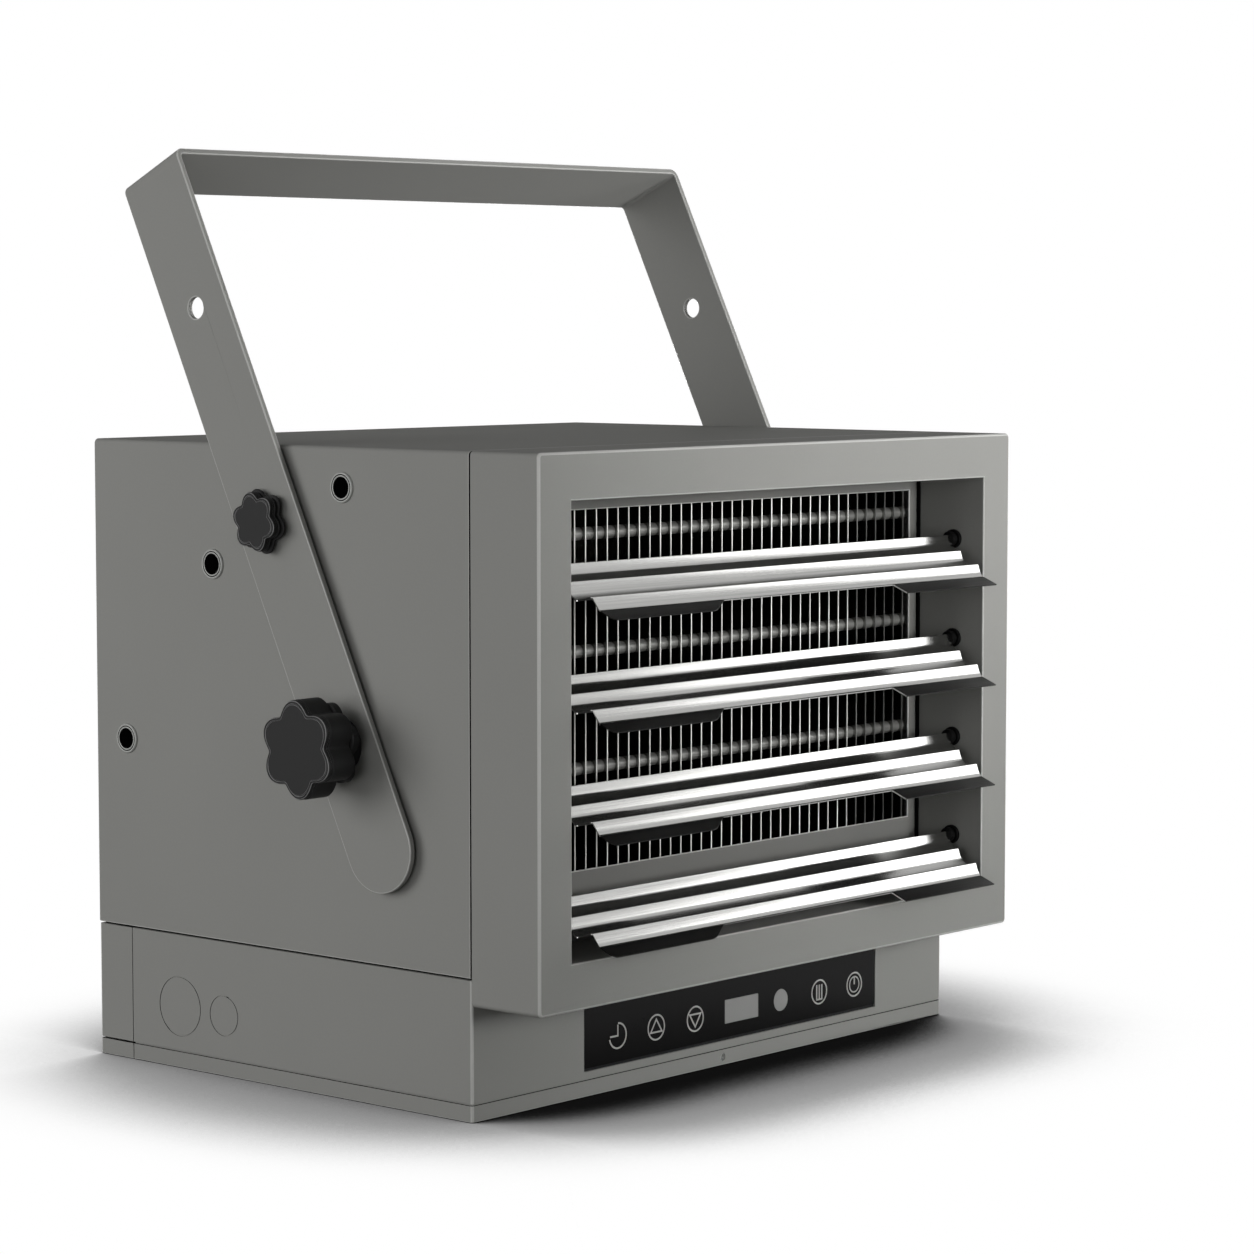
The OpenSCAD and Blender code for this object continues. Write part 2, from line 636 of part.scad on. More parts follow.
module rear_guard() color("#2a2a2a") translate([0, 0, fan_z]) difference() {
    front_plate(guard_y, guard_y + guard_t) {
        for (k = [2:guard_rings]) guard_ring(k * ring_step);
        guard_ring(guard_r + wire_w / 2);
        circle(ring_step + wire_w / 2);
        for (a = [0:45:315]) rotate(a) translate([ring_step, -arm_w / 2])
            square([guard_r - ring_step, arm_w]);
        for (p = guard_screw_places) translate([p[0], p[2] - fan_z]) circle(eye_r);
    }
    for (p = guard_screw_places) translate([p[0], 0, p[2] - fan_z])
        rod_y(screw_r + run, guard_y - cut, rear_y + cut);
}
eye_r = 5;
guard_screw_r = guard_r + wire_w / 2 + eye_r;
guard_screw_places = [for (a = [45:90:315])
    [guard_screw_r * cos(a), 0, fan_z + guard_screw_r * sin(a)]];

// Screws
head_r = 2.8;
head_t = 1.6;
screw_l = 5;
module guard_screws() color("#c9c9c6") for (p = guard_screw_places) translate(p) {
    rod_y(head_r, rear_y, rear_y + head_t);
    rod_y(screw_r, rear_y - screw_l, rear_y);
}
module case_screws() color("#c9c9c6") translate([0, 0, screw_z])
    rod_y(screw_r, front_y + run, front_y + 3 * sheet_t);

// Bracket: a flat strip bent into a U, drawn along its arms from the pivot
bend_r = 4;
arm_x = side_x + arm_gap;
bracket_x = arm_x + strip_t;
lock_slot = 8;
module arm_outline() difference() {
    union() {
        translate([-strip_w / 2, -arm_tail]) square([strip_w, arm_tail + bracket_reach - bend_r]);
        translate([0, -arm_tail]) circle(strip_w / 2);
    }
    circle(nut_bore_r + run);
    translate([0, hang_reach]) circle(hang_r);
    for (l = [0, lock_slot]) translate([0, lock_reach + l]) circle(nut_bore_r + run);
    translate([-nut_bore_r - run, lock_reach]) square([2 * (nut_bore_r + run), lock_slot]);
}
module bend() rotate([90, 0, 0]) linear_extrude(strip_w, center = true) difference() {
    intersection() {
        circle(bend_r);
        square(2 * bend_r);
    }
    circle(bend_r - strip_t);
}
module bracket() color("#6f6f6b") translate([0, pivot_y, pivot_h]) rotate([-bracket_lean, 0, 0]) {
    for (s = [-1, 1]) mirror([s < 0 ? 1 : 0, 0, 0]) {
        translate([arm_x, 0, 0]) rotate([90, 0, 90]) linear_extrude(strip_t) arm_outline();
        translate([bracket_x - bend_r, 0, bracket_reach - bend_r]) bend();
    }
    box([-bracket_x + bend_r, -strip_w / 2, bracket_reach - strip_t],
        [bracket_x - bend_r, strip_w / 2, bracket_reach]);
}

// Washers that hold the arms off the inserts
washer_r = 11;
module pivot_washers() color("#b9b9b4") for (s = [-1, 1])
    translate([0, pivot_y, pivot_h]) mirror([s < 0 ? 1 : 0, 0, 0]) difference() {
        rod_x(washer_r, side_x + nut_flange_t, arm_x - slide);
        rod_x(nut_bore_r + slide, side_x, arm_x);
    }

// Star knobs: six broad lobes with tight hollows between them
lobes = 6;
hollow_share = 0.79;
blunt = 0.06;
edge_t = 0.8;
function lift(c) = sqrt(c * c + blunt) - sqrt(blunt);
function wave(a) = lift(cos(lobes * a / 2)) / lift(cos(0));
lobe_points = 16;
function star(r, phase) = [for (k = [0:lobes * lobe_points - 1]) let (a = k * 360 / (lobes * lobe_points))
    r * (hollow_share + (1 - hollow_share) * wave(a - phase)) * [cos(a), sin(a)]];
// Solid star from x0 to x1, with its outer edge eased
module star_head(r, phase, x0, x1) {
    translate([x0, 0, 0]) rotate([90, 0, 90]) linear_extrude(x1 - x0 - edge_t) polygon(star(r, phase));
    translate([x1 - edge_t, 0, 0]) rotate([90, 0, 90])
        linear_extrude(edge_t) polygon(star(r - edge_t, phase));
}
knob_x = bracket_x + slide;
// Behind its head a knob has a thin lobed step (radius, length, phase) on a round neck (radius, length)
pivot_step = [18, 4.2, 101];
pivot_neck = [11, 7.3];
lock_step = [13.5, 1.8, 74];
lock_neck = [8, 2.1];
stud_in = 9;
pivot_phase = 84;
lock_phase = 74;
module knob(r, d, phase, step, neck, deep) difference() {
    union() {
        rod_x(neck[0], knob_x, knob_x + neck[1]);
        star_head(step[0], step[2], knob_x + neck[1], knob_x + neck[1] + step[1]);
        star_head(r, phase, knob_x + neck[1] + step[1], knob_x + neck[1] + step[1] + d);
    }
    rod_x(stud_r + run, knob_x - cut, knob_x + deep);
}
module at_pivot(s) translate([0, pivot_y, pivot_h]) mirror([s < 0 ? 1 : 0, 0, 0]) children();
module at_lock(s) translate([0, lock_y, lock_z]) mirror([s < 0 ? 1 : 0, 0, 0]) children();
lock_in = 4;
module pivot_knob_left() color("#303030") at_pivot(-1)
    knob(pivot_knob_r, pivot_knob_d, pivot_phase, pivot_step, pivot_neck, stud_in);
module pivot_knob_right() color("#303030") at_pivot(1)
    knob(pivot_knob_r, pivot_knob_d, pivot_phase, pivot_step, pivot_neck, stud_in);
module lock_knob_left() color("#303030") at_lock(-1)
    knob(lock_knob_r, lock_knob_d, lock_phase, lock_step, lock_neck, lock_in);
module lock_knob_right() color("#303030") at_lock(1)
    knob(lock_knob_r, lock_knob_d, lock_phase, lock_step, lock_neck, lock_in);
// Pivot studs reach into the inserts; locking studs are drawn backed out of theirs
stud_back = 13;
module pivot_stud_left() color("#c9c9c6") at_pivot(-1) rod_x(stud_r, side_x - stud_back, knob_x + stud_in);
module pivot_stud_right() color("#c9c9c6") at_pivot(1) rod_x(stud_r, side_x - stud_back, knob_x + stud_in);
module lock_stud_left() color("#c9c9c6") at_lock(-1) rod_x(stud_r, arm_x, knob_x + lock_in);
module lock_stud_right() color("#c9c9c6") at_lock(1) rod_x(stud_r, arm_x, knob_x + lock_in);

cabinet_wrap();
rear_panel();
rear_guard();
chassis_floor();
front_bulkhead();
front_hood();
base_housing();
base_rear_cover();
bottom_plate();
panel_carrier();
control_glass();
display_window();
receiver_window();
control_board();
relay_board();
terminal_block();
thermal_cutout();
rivet_nuts_left();
rivet_nuts_right();
pivot_washers();
element_fins();
element_end_plates();
fan_shroud();
fan_motor();
motor_mount();
motor_shaft();
fan_blade();
louvre_bushes();
case_screws();
guard_screws();
bracket();
pivot_knob_left();
pivot_knob_right();
pivot_stud_left();
pivot_stud_right();
lock_knob_left();
lock_knob_right();
lock_stud_left();
lock_stud_right();
for (i = [1:LOUVRES]) {
    element_tube(i);
    louvre(i);
    louvre_pins(i);
}
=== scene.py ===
import json
import math

import bmesh
import bpy
from mathutils import Matrix, Vector

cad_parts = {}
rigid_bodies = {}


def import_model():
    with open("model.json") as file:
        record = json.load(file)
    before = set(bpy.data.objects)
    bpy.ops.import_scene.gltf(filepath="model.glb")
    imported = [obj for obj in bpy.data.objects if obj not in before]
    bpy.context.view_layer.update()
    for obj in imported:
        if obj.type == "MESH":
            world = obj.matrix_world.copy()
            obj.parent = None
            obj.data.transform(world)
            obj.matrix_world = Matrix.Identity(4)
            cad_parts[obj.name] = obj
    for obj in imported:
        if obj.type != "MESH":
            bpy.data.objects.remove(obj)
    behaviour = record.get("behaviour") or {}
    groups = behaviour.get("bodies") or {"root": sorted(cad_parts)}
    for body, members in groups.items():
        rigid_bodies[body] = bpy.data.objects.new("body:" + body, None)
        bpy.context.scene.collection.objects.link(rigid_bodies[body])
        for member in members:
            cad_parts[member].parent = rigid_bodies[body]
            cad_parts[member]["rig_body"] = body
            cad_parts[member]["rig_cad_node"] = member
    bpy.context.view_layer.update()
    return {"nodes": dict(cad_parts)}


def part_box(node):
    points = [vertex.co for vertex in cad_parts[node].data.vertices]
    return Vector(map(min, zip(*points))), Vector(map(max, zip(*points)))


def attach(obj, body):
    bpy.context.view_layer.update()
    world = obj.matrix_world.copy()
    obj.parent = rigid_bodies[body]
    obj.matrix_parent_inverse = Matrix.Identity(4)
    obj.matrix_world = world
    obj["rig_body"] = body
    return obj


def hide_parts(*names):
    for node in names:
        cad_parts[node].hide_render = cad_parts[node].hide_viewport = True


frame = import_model()
bpy.ops.object.select_all(action="DESELECT")
scene = bpy.context.scene
scene.view_settings.view_transform = "Standard"

# The camera stands off the front left corner, a little higher than the cabinet's top, with
# a long lens, so that the hood's face and the left side both show.
camera_data = bpy.data.cameras.new("camera")
camera_data.sensor_width = 36
camera_data.lens = 109.56
camera = bpy.data.objects.new("camera", camera_data)
camera.location = (-1.2343, -1.1290, 0.3197)
camera.rotation_mode = "QUATERNION"
camera.rotation_quaternion = Vector((0.7521, 0.6538, -0.0829)).to_track_quat("-Z", "Y")
scene.collection.objects.link(camera)
scene.camera = camera


# Studio: a white sweep, dim overhead. A gridded soft box in front and a weak one at the right
# light the hood's face, two light the left side, and a low one behind the right side lifts
# the back without reaching the top.
def linear(code):
    """A colour written as sRGB hex, as the linear numbers a shader takes."""
    parts = [int(code[i:i + 2], 16) / 255 for i in (1, 3, 5)]
    return [c / 12.92 if c <= 0.04045 else ((c + 0.055) / 1.055) ** 2.4 for c in parts] + [1]


def add(tree, kind, sockets=None, **settings):
    """Adds a node, with its settings, and the value or the link of each named socket."""
    made = tree.nodes.new("ShaderNode" + kind)
    for name, value in settings.items():
        setattr(made, name, value)
    for name, value in (sockets or {}).items():
        if isinstance(value, bpy.types.NodeSocket):
            tree.links.new(value, made.inputs[name])
        else:
            made.inputs[name].default_value = value
    return made


def seen_directly(tree):
    """One for what the camera sees straight, in a mirror or through glass, and else zero."""
    path = add(tree, "LightPath")
    either = add(tree, "Math", {0: path.outputs["Is Camera Ray"], 1: path.outputs["Is Glossy Ray"]},
                 operation="MAXIMUM")
    return add(tree, "Math", {0: either.outputs[0], 1: path.outputs["Is Transmission Ray"]},
               operation="MAXIMUM").outputs[0]


white = linear("#ffffff")
HORIZON_LIGHT = 0.40
ZENITH_LIGHT = 0.04
world = bpy.data.worlds.new("studio")
world.use_nodes = True
scene.world = world
tree = world.node_tree
tree.nodes.clear()
way = add(tree, "TexCoord")
height = add(tree, "SeparateXYZ", {0: way.outputs["Generated"]})
dome = add(tree, "MapRange", {"Value": height.outputs["Z"], "From Min": 0.0, "From Max": 0.75,
                              "To Min": HORIZON_LIGHT, "To Max": ZENITH_LIGHT})
level = add(tree, "Mix", {0: seen_directly(tree), 2: dome.outputs[0], 3: 1.0}, data_type="FLOAT")
backdrop = add(tree, "Background", {"Color": white, "Strength": level.outputs[0]})
add(tree, "OutputWorld", {"Surface": backdrop.outputs[0]})


def soft_box(name, place, aim, size, watts, spread=180):
    """A rectangular soft box at a place, facing the aim. A grid on it narrows the spread."""
    data = bpy.data.lights.new(name, "AREA")
    data.shape = "RECTANGLE"
    data.size, data.size_y = size
    data.energy = watts
    data.spread = math.radians(spread)
    lamp = bpy.data.objects.new(name, data)
    lamp.location = place
    lamp.rotation_mode = "QUATERNION"
    lamp.rotation_quaternion = (Vector(aim) - Vector(place)).to_track_quat("-Z", "Y")
    scene.collection.objects.link(lamp)


soft_box("front_box", (0.22, -1.36, 0.38), (0.14, -0.14, 0.32), (0.4, 0.4), 1.32, 45)
soft_box("right_strip", (1.09, -0.69, 0.40), (0.0, -0.14, 0.17), (0.4, 0.6), 3)
soft_box("left_front_box", (-1.25, -0.55, 0.20), (-0.15, 0.0, 0.15), (0.5, 0.5), 2.5)
soft_box("rear_left_box", (-1.30, 0.55, 0.35), (-0.15, 0.0, 0.15), (0.9, 0.9), 9.3)
soft_box("rear_right_box", (1.20, 1.10, 0.13), (0.0, 0.0, 0.13), (0.9, 0.22), 9)

# Pale floor, wide enough to fill the view. It shows the camera a white that darkens only
# under and beside the base, as a soft contact shadow does.
FLOOR_SIZE = 12
SHADOW_REACH = 0.16
bpy.ops.mesh.primitive_plane_add(size=FLOOR_SIZE, location=(0, 0, -0.0002))
floor = bpy.context.object
floor.name = "floor"
sweep = bpy.data.materials.new("white_sweep")
sweep.use_nodes = True
tree = sweep.node_tree
tree.nodes.clear()
near = add(tree, "AmbientOcclusion", {"Distance": SHADOW_REACH}, samples=24)
fade = add(tree, "ValToRGB", {"Fac": near.outputs["AO"]})
fade.color_ramp.interpolation = "EASE"
fade.color_ramp.elements[0].position = 0.34
fade.color_ramp.elements[0].color = linear("#101010")
fade.color_ramp.elements[1].position = 0.93
fade.color_ramp.elements[1].color = white
fade.color_ramp.elements.new(0.60).color = linear("#949494")
shown = add(tree, "Emission", {"Color": fade.outputs["Color"]})
plain = add(tree, "BsdfDiffuse", {"Color": linear("#7c7c7a")})
mixed = add(tree, "MixShader", {0: seen_directly(tree), 1: plain.outputs[0], 2: shown.outputs[0]})
add(tree, "OutputMaterial", {"Surface": mixed.outputs[0]})
floor.data.materials.append(sweep)


# Base: a folded front with two sides, a rear cover and the shallow tray of the bottom
# plate, all of 1 mm steel. They are powder coated a warm mid grey after folding.
def finish(name):
    """An empty material, with its tree and a Principled shader joined to the output."""
    made = bpy.data.materials.new(name)
    made.use_nodes = True
    made.node_tree.nodes.clear()
    shader = add(made.node_tree, "BsdfPrincipled")
    add(made.node_tree, "OutputMaterial", {"Surface": shader.outputs[0]})
    return made, made.node_tree, shader


def grained(name, dark, light, grain, rough, spread, relief, metallic=0.0, specular=0.5,
            stretch=(1, 1, 1), cloud=0.07):
    """A finish with a fine grain, in metres, over a tone that wanders across the cloud size."""
    made, tree, shader = finish(name)
    place = add(tree, "TexCoord")
    pull = add(tree, "Mapping", {"Vector": place.outputs["Object"], "Scale": stretch})
    fine = add(tree, "TexNoise", {"Vector": pull.outputs[0], "Scale": 1 / grain, "Detail": 3})
    wide = add(tree, "TexNoise", {"Vector": place.outputs["Object"], "Scale": 1 / cloud, "Detail": 2})
    both = add(tree, "Mix", {0: 0.5, 2: fine.outputs["Fac"], 3: wide.outputs["Fac"]}, data_type="FLOAT")
    tone = add(tree, "Mix", {0: both.outputs[0], 6: linear(dark), 7: linear(light)}, data_type="RGBA")
    tree.links.new(tone.outputs[2], shader.inputs["Base Color"])
    dull = add(tree, "MapRange", {"Value": fine.outputs["Fac"], "To Min": rough - spread,
                                  "To Max": rough + spread})
    tree.links.new(dull.outputs[0], shader.inputs["Roughness"])
    bump = add(tree, "Bump", {"Height": fine.outputs["Fac"], "Strength": 0.3, "Distance": relief})
    tree.links.new(bump.outputs[0], shader.inputs["Normal"])
    shader.inputs["Metallic"].default_value = metallic
    shader.inputs["Specular IOR Level"].default_value = specular
    return made


def merged_copy(node, name):
    """A copy of a CAD node with its loose triangles merged into clean faces."""
    piece = frame["nodes"][node].copy()
    piece.data = piece.data.copy()
    piece.name = piece.data.name = name
    piece.parent = None
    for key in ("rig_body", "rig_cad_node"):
        del piece[key]
    scene.collection.objects.link(piece)
    bpy.ops.object.select_all(action="DESELECT")
    piece.select_set(True)
    bpy.context.view_layer.objects.active = piece
    bpy.ops.mesh.customdata_custom_splitnormals_clear()
    bpy.ops.object.mode_set(mode="EDIT")
    bpy.ops.mesh.select_all(action="SELECT")
    bpy.ops.mesh.remove_doubles(threshold=2e-6)
    bpy.ops.mesh.dissolve_limited(angle_limit=math.radians(0.3))
    bpy.ops.object.mode_set(mode="OBJECT")
    return piece


# An edge counts as sharp when its two faces turn by more than this
SHARP = math.radians(28)


def ease(piece, width, segments=2, wanted=lambda p, q: True, coat=0):
    """Rounds the sharp edges whose two ends pass the test, in the coat of that number."""
    while len(piece.data.materials) <= coat:
        piece.data.materials.append(None)
    bpy.context.view_layer.objects.active = piece
    bpy.ops.object.mode_set(mode="EDIT")
    bpy.ops.mesh.select_mode(type="EDGE")
    bpy.ops.mesh.select_all(action="DESELECT")
    skin = bmesh.from_edit_mesh(piece.data)
    for edge in skin.edges:
        if len(edge.link_faces) == 2 and edge.calc_face_angle() > SHARP:
            edge.select_set(wanted(edge.verts[0].co, edge.verts[1].co))
    bmesh.update_edit_mesh(piece.data)
    bpy.ops.mesh.bevel(offset=width, segments=segments, profile=0.5, affect="EDGES", clamp_overlap=False,
                       material=coat)
    bpy.ops.mesh.select_all(action="DESELECT")
    bpy.ops.object.mode_set(mode="OBJECT")


def smooth(piece, degrees=40):
    """Smooth shading over rounded edges, with the flat faces kept flat."""
    bpy.ops.object.select_all(action="DESELECT")
    piece.select_set(True)
    bpy.context.view_layer.objects.active = piece
    bpy.ops.object.shade_smooth_by_angle(angle=math.radians(degrees))
    level = piece.modifiers.new("flat faces", "WEIGHTED_NORMAL")
    level.weight = 100
    level.keep_sharp = True
    bpy.ops.object.modifier_apply(modifier=level.name)


def dress(piece, coats, slot, body, *nodes):
    """Gives a finished piece its materials, its body and the nodes it stands for."""
    numbers = [face.material_index for face in piece.data.polygons]
    piece.data.materials.clear()
    for coat in coats:
        piece.data.materials.append(coat)
    piece.data.polygons.foreach_set("material_index", numbers)
    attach(piece, body)
    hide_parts(*nodes)


def softened(node, name, coats, slot, body, width, segments=2, wanted=lambda p, q: True, shaded=None):
    """A CAD node's shape. Its eased edges take the second coat, and the faces that pass the shaded test the
    third, a painted shade.
    """
    piece = merged_copy(node, name)
    ease(piece, width, segments, wanted, min(len(coats) - 1, 1))
    smooth(piece)
    for face in piece.data.polygons if shaded else ():
        if shaded(face.center, face.normal):
            face.material_index = 2
    dress(piece, coats, slot, body, node)


# Polyester powder on steel: satin, with an orange peel of about 1 mm and an even tone
powder = grained("powder_coated_steel", "#8b8b88", "#939390", grain=0.001, rough=0.7, spread=0.05,
                 relief=0.00002, specular=0.015)
# The same powder over a fold or a cut edge, with a painted highlight: lighter, with
# a soft gloss that draws each edge as a pale line
powder_edge_highlight = grained("powder_painted_edge_highlight", "#a4a4a1", "#b0b0ad", grain=0.001, rough=0.42, spread=0.06,
                 relief=0.00001, specular=0.5)
# Painted shade in the gaps and seams and in the scores of the knock-outs: almost black,
# with a grain of about 1 mm
seam_shade_black = grained("black_painted_seam_shade", "#080808", "#0d0d0d", grain=0.001, rough=0.9, spread=0.05,
                    relief=0.00002, specular=0.02)
painted = [powder, powder_edge_highlight, seam_shade_black]
SIDE_X = 0.155
FRONT_Y = -0.110
REAR_Y = 0.110
CORNER_ROUND = 0.0010
# Two points nearer than this count as level with each other
LEVEL = 1e-5
# The seams at either side lie beyond this
SEAM_X = 0.150
# The rear cover's seam and the depth of its cut edge painted as shade, behind it
LAP_Y = 0.0890
LAP_EDGE = 0.0006
# The width of the tray's score, how far from its line a score's faces lie, in the tray and
# round a knock-out, and how deep in the sheet
SCORE_W = 0.0004
TRAY_BAND = 0.00025
RING_BAND = 0.0003
SCORE_DEPTHS = (0.00002, 0.0004)
TRAY_RIM_Z = 0.0060
# Each knock-out's y, z and radius
KNOCK_OUTS = [(0.0595, 0.0261, 0.0126), (0.0325, 0.0254, 0.0084)]


def on_corner(p, q):
    """An upright edge at one of the four corners of the base."""
    return (abs(p.z - q.z) > 0.002 and abs(p.x) > SIDE_X - LEVEL and abs(p.x - q.x) < LEVEL
            and min(abs(p.y - FRONT_Y), abs(p.y - REAR_Y)) < LEVEL)


def in_score(p, n):
    """Inside the scored ring of a knock-out."""
    least, most = SCORE_DEPTHS
    if p.x > -SIDE_X + most or p.x < -SIDE_X + least:
        return False
    return any(abs(math.hypot(p.y - y, p.z - z) - r) < RING_BAND for y, z, r in KNOCK_OUTS)


def cut_box(piece, place, size):
    """Cuts a box, given as a matrix for its place and a size, out of a piece."""
    bpy.ops.object.select_all(action="DESELECT")
    bpy.ops.mesh.primitive_cube_add(size=1)
    cutter = bpy.context.object
    cutter.data.transform(place @ Matrix.Diagonal((*size, 1)))
    bpy.context.view_layer.objects.active = piece
    cut = piece.modifiers.new("cut", "BOOLEAN")
    cut.object = cutter
    cut.solver = "EXACT"
    bpy.ops.object.modifier_apply(modifier=cut.name)
    bpy.data.objects.remove(cutter)


# The scores of the knock-outs take the painted shade
softened("base_housing", "base_shell", painted, "paint", "cabinet", CORNER_ROUND, 3, on_corner, in_score)
# The rear cover is painted black as shade along the cut edge of its seam
softened("base_rear_cover", "base_rear_shell", painted, "paint", "cabinet", CORNER_ROUND, 3, on_corner,
         lambda p, n: abs(p.x) > SEAM_X and p.y < LAP_Y + LAP_EDGE)
# The tray is scored where the rear cover's seam meets it, with the score painted black as shade,
# its lower edge takes a painted highlight, and the top of its rim, in the seam under the base, is painted
# black as shade
tray = merged_copy("bottom_plate", "bottom_tray")
ease(tray, CORNER_ROUND, 3, on_corner, 1)
ease(tray, 0.0003, 2, lambda p, q: max(p.z, q.z) < LEVEL, 1)
for side in (-1, 1):
    cut_box(tray, Matrix.Translation((side * SIDE_X, LAP_Y, 0.005)), (0.0006, SCORE_W, 0.012))
smooth(tray)
for face in tray.data.polygons:
    p = face.center
    depth = SIDE_X - abs(p.x)
    score = abs(p.y - LAP_Y) < TRAY_BAND and SCORE_DEPTHS[0] < depth < SCORE_DEPTHS[1]
    if score or face.normal.z > 0.9 and p.z > TRAY_RIM_Z:
        face.material_index = 2
dress(tray, painted, "paint", "cabinet", "bottom_plate")


# Tray screw: one small socket screw of zinc plated steel in the tray's front rim, sunk
# level with the paint, whose edge catches the light.
def turned(name, place, axis, profile, sides=48):
    """A solid of rings: a circle is extruded through (distance, radius) pairs along the axis.
    A third entry is the ring's outline, and a profile that ends where it starts is closed."""
    bpy.ops.object.select_all(action="DESELECT")
    bpy.ops.mesh.primitive_circle_add(vertices=sides, radius=profile[0][1])
    piece = bpy.context.object
    piece.name = piece.data.name = name
    bpy.ops.object.mode_set(mode="EDIT")
    bpy.ops.mesh.select_all(action="SELECT")
    for i, (distance, radius, *outline) in enumerate(profile):
        if i:
            bpy.ops.mesh.extrude_region_move()
        skin = bmesh.from_edit_mesh(piece.data)
        for v in skin.verts:
            if v.select:
                a = math.atan2(v.co.y, v.co.x)
                r = radius * outline[0](a) if outline else radius
                v.co = (r * math.cos(a), r * math.sin(a), distance)
        bmesh.update_edit_mesh(piece.data)
    if profile[0] == profile[-1]:
        bpy.ops.mesh.select_all(action="SELECT")
        bpy.ops.mesh.remove_doubles(threshold=1e-7)
    else:
        bpy.ops.mesh.select_all(action="DESELECT")
        bpy.ops.mesh.select_non_manifold()
        bpy.ops.mesh.fill_holes(sides=0)
    bpy.ops.mesh.select_all(action="SELECT")
    bpy.ops.mesh.normals_make_consistent(inside=False)
    bpy.ops.mesh.select_all(action="DESELECT")
    bpy.ops.object.mode_set(mode="OBJECT")
    turn = Vector(axis).to_track_quat("Z", "Y").to_matrix().to_4x4()
    piece.data.transform(Matrix.Translation(place) @ turn)
    return piece


# Bright zinc plate, blue-white and slightly streaked by the tumbling
zinc = grained("bright_zinc_plate", "#a9aaa8", "#c6c7c4", grain=0.0006, rough=0.34, spread=0.08,
               relief=0.00001, metallic=1.0)
SCREW_PLACE = (0, FRONT_Y, 0.0034)
socket_screw = [(0.0030, 0.0015), (0.0004, 0.0015), (0.0001, 0.0012), (0.0001, 0.0008), (0.0008, 0.0007)]
tray_screw = turned("tray_screw", SCREW_PLACE, (0, 1, 0), socket_screw, sides=24)
smooth(tray_screw, 30)
dress(tray_screw, [zinc], "zinc", "cabinet", "case_screws")

# Touch panel: a black polyester film on a clip-in carrier, with a grey display window, a
# round receiver window and five keys printed in pale grey lines.
# Spark-eroded mould skin on glass-filled nylon: satin black, with a grain near 0.7 mm,
# twice the real one so that it shows
nylon = grained("moulded_black_nylon", "#141414", "#1c1c1c", grain=0.0007, rough=0.48, spread=0.08,
                relief=0.00003, specular=0.12)
softened("panel_carrier", "panel_frame", [nylon], "black_plastic", "cabinet", 0.0002)
# Printed polyester film, nearly black and smooth, its ripple a few centimetres long
film = grained("black_polyester_film", "#0d0d0d", "#111111", grain=0.02, rough=0.22, spread=0.03,
               relief=0.00004, specular=0.08)
# Tinted acrylic: pale grey behind a clear skin, with a faint dust of about 1 mm
tinted = grained("tinted_acrylic", "#888886", "#90908e", grain=0.001, rough=0.3, spread=0.05,
                 relief=0.00001, specular=0.3)
softened("control_glass", "panel_film", [film], "panel_lens", "cabinet", 0.00015)
softened("display_window", "display_pane", [tinted], "panel_window", "cabinet", 0.00015)
softened("receiver_window", "receiver_pane", [tinted], "panel_window", "cabinet", 0.00015)

# The print lies on the film's face. It is an outline mesh, with the ink's thickness at the end
PRINT_Y = -0.1098
PRINT_T = 0.00005
KEY_Z = 0.0223
KEY_R = 0.0052
RING_R = 0.0034
LINE = 0.0007
THIN_LINE = 0.0006
BOLD_LINE = 0.0008
bpy.ops.object.select_all(action="DESELECT")
bpy.ops.mesh.primitive_circle_add(vertices=48, radius=KEY_R)
keys = bpy.context.object
keys.name = keys.data.name = "key_print"
bpy.ops.object.mode_set(mode="EDIT")
bpy.ops.mesh.select_all(action="SELECT")
bpy.ops.mesh.delete(type="VERT")
skin = bmesh.from_edit_mesh(keys.data)


def printed_line(points, closed=False, width=LINE):
    """A strip of ink along points of (x, z) on the film, with mitred corners."""
    rail = [Vector(p) for p in points]
    count = len(rail)
    edges = []
    for i, p in enumerate(rail):
        before = rail[i - 1] if i or closed else None
        after = rail[(i + 1) % count] if i < count - 1 or closed else None
        a = (p - before).normalized() if before is not None else (after - p).normalized()
        b = (after - p).normalized() if after is not None else a
        side = Vector((-a.y - b.y, a.x + b.x)).normalized()
        reach = width / 2 / max(0.4, side.dot(Vector((-a.y, a.x))))
        edges.append([skin.verts.new((q.x, PRINT_Y, q.y)) for q in (p - side * reach, p + side * reach)])
    for i in range(count if closed else count - 1):
        lower, upper = edges[i], edges[(i + 1) % count]
        skin.faces.new((lower[0], upper[0], upper[1], lower[1]))


def arc(x, z, r, start=0.0, end=360.0, steps=48):
    """Points round a circle on the film, or round a part of it."""
    count = max(3, round(steps * (end - start) / 360))
    last = count if end - start >= 360 else count + 1
    return [(x + r * math.cos(math.radians(start + (end - start) * i / count)),
             z + r * math.sin(math.radians(start + (end - start) * i / count))) for i in range(last)]


TIMER_X, UP_X, DOWN_X, HEAT_X, POWER_X = -0.0676, -0.0433, -0.0181, 0.0663, 0.0913
printed_line(arc(TIMER_X, KEY_Z, KEY_R, -168, 88))
printed_line([(TIMER_X - 0.0048, KEY_Z), (TIMER_X, KEY_Z), (TIMER_X, KEY_Z + 0.0046)])
for x, tip in ((UP_X, 1), (DOWN_X, -1)):
    printed_line(arc(x, KEY_Z, KEY_R), closed=True)
    printed_line([(x - 0.0036, KEY_Z - 0.0020 * tip), (x + 0.0036, KEY_Z - 0.0020 * tip),
                  (x, KEY_Z + 0.0034 * tip)][::tip], closed=True)
printed_line(arc(HEAT_X, KEY_Z, KEY_R), closed=True)
for x in (-0.0018, 0, 0.0018):
    printed_line([(HEAT_X + x, KEY_Z - 0.0030), (HEAT_X + x, KEY_Z + 0.0032)], width=BOLD_LINE)
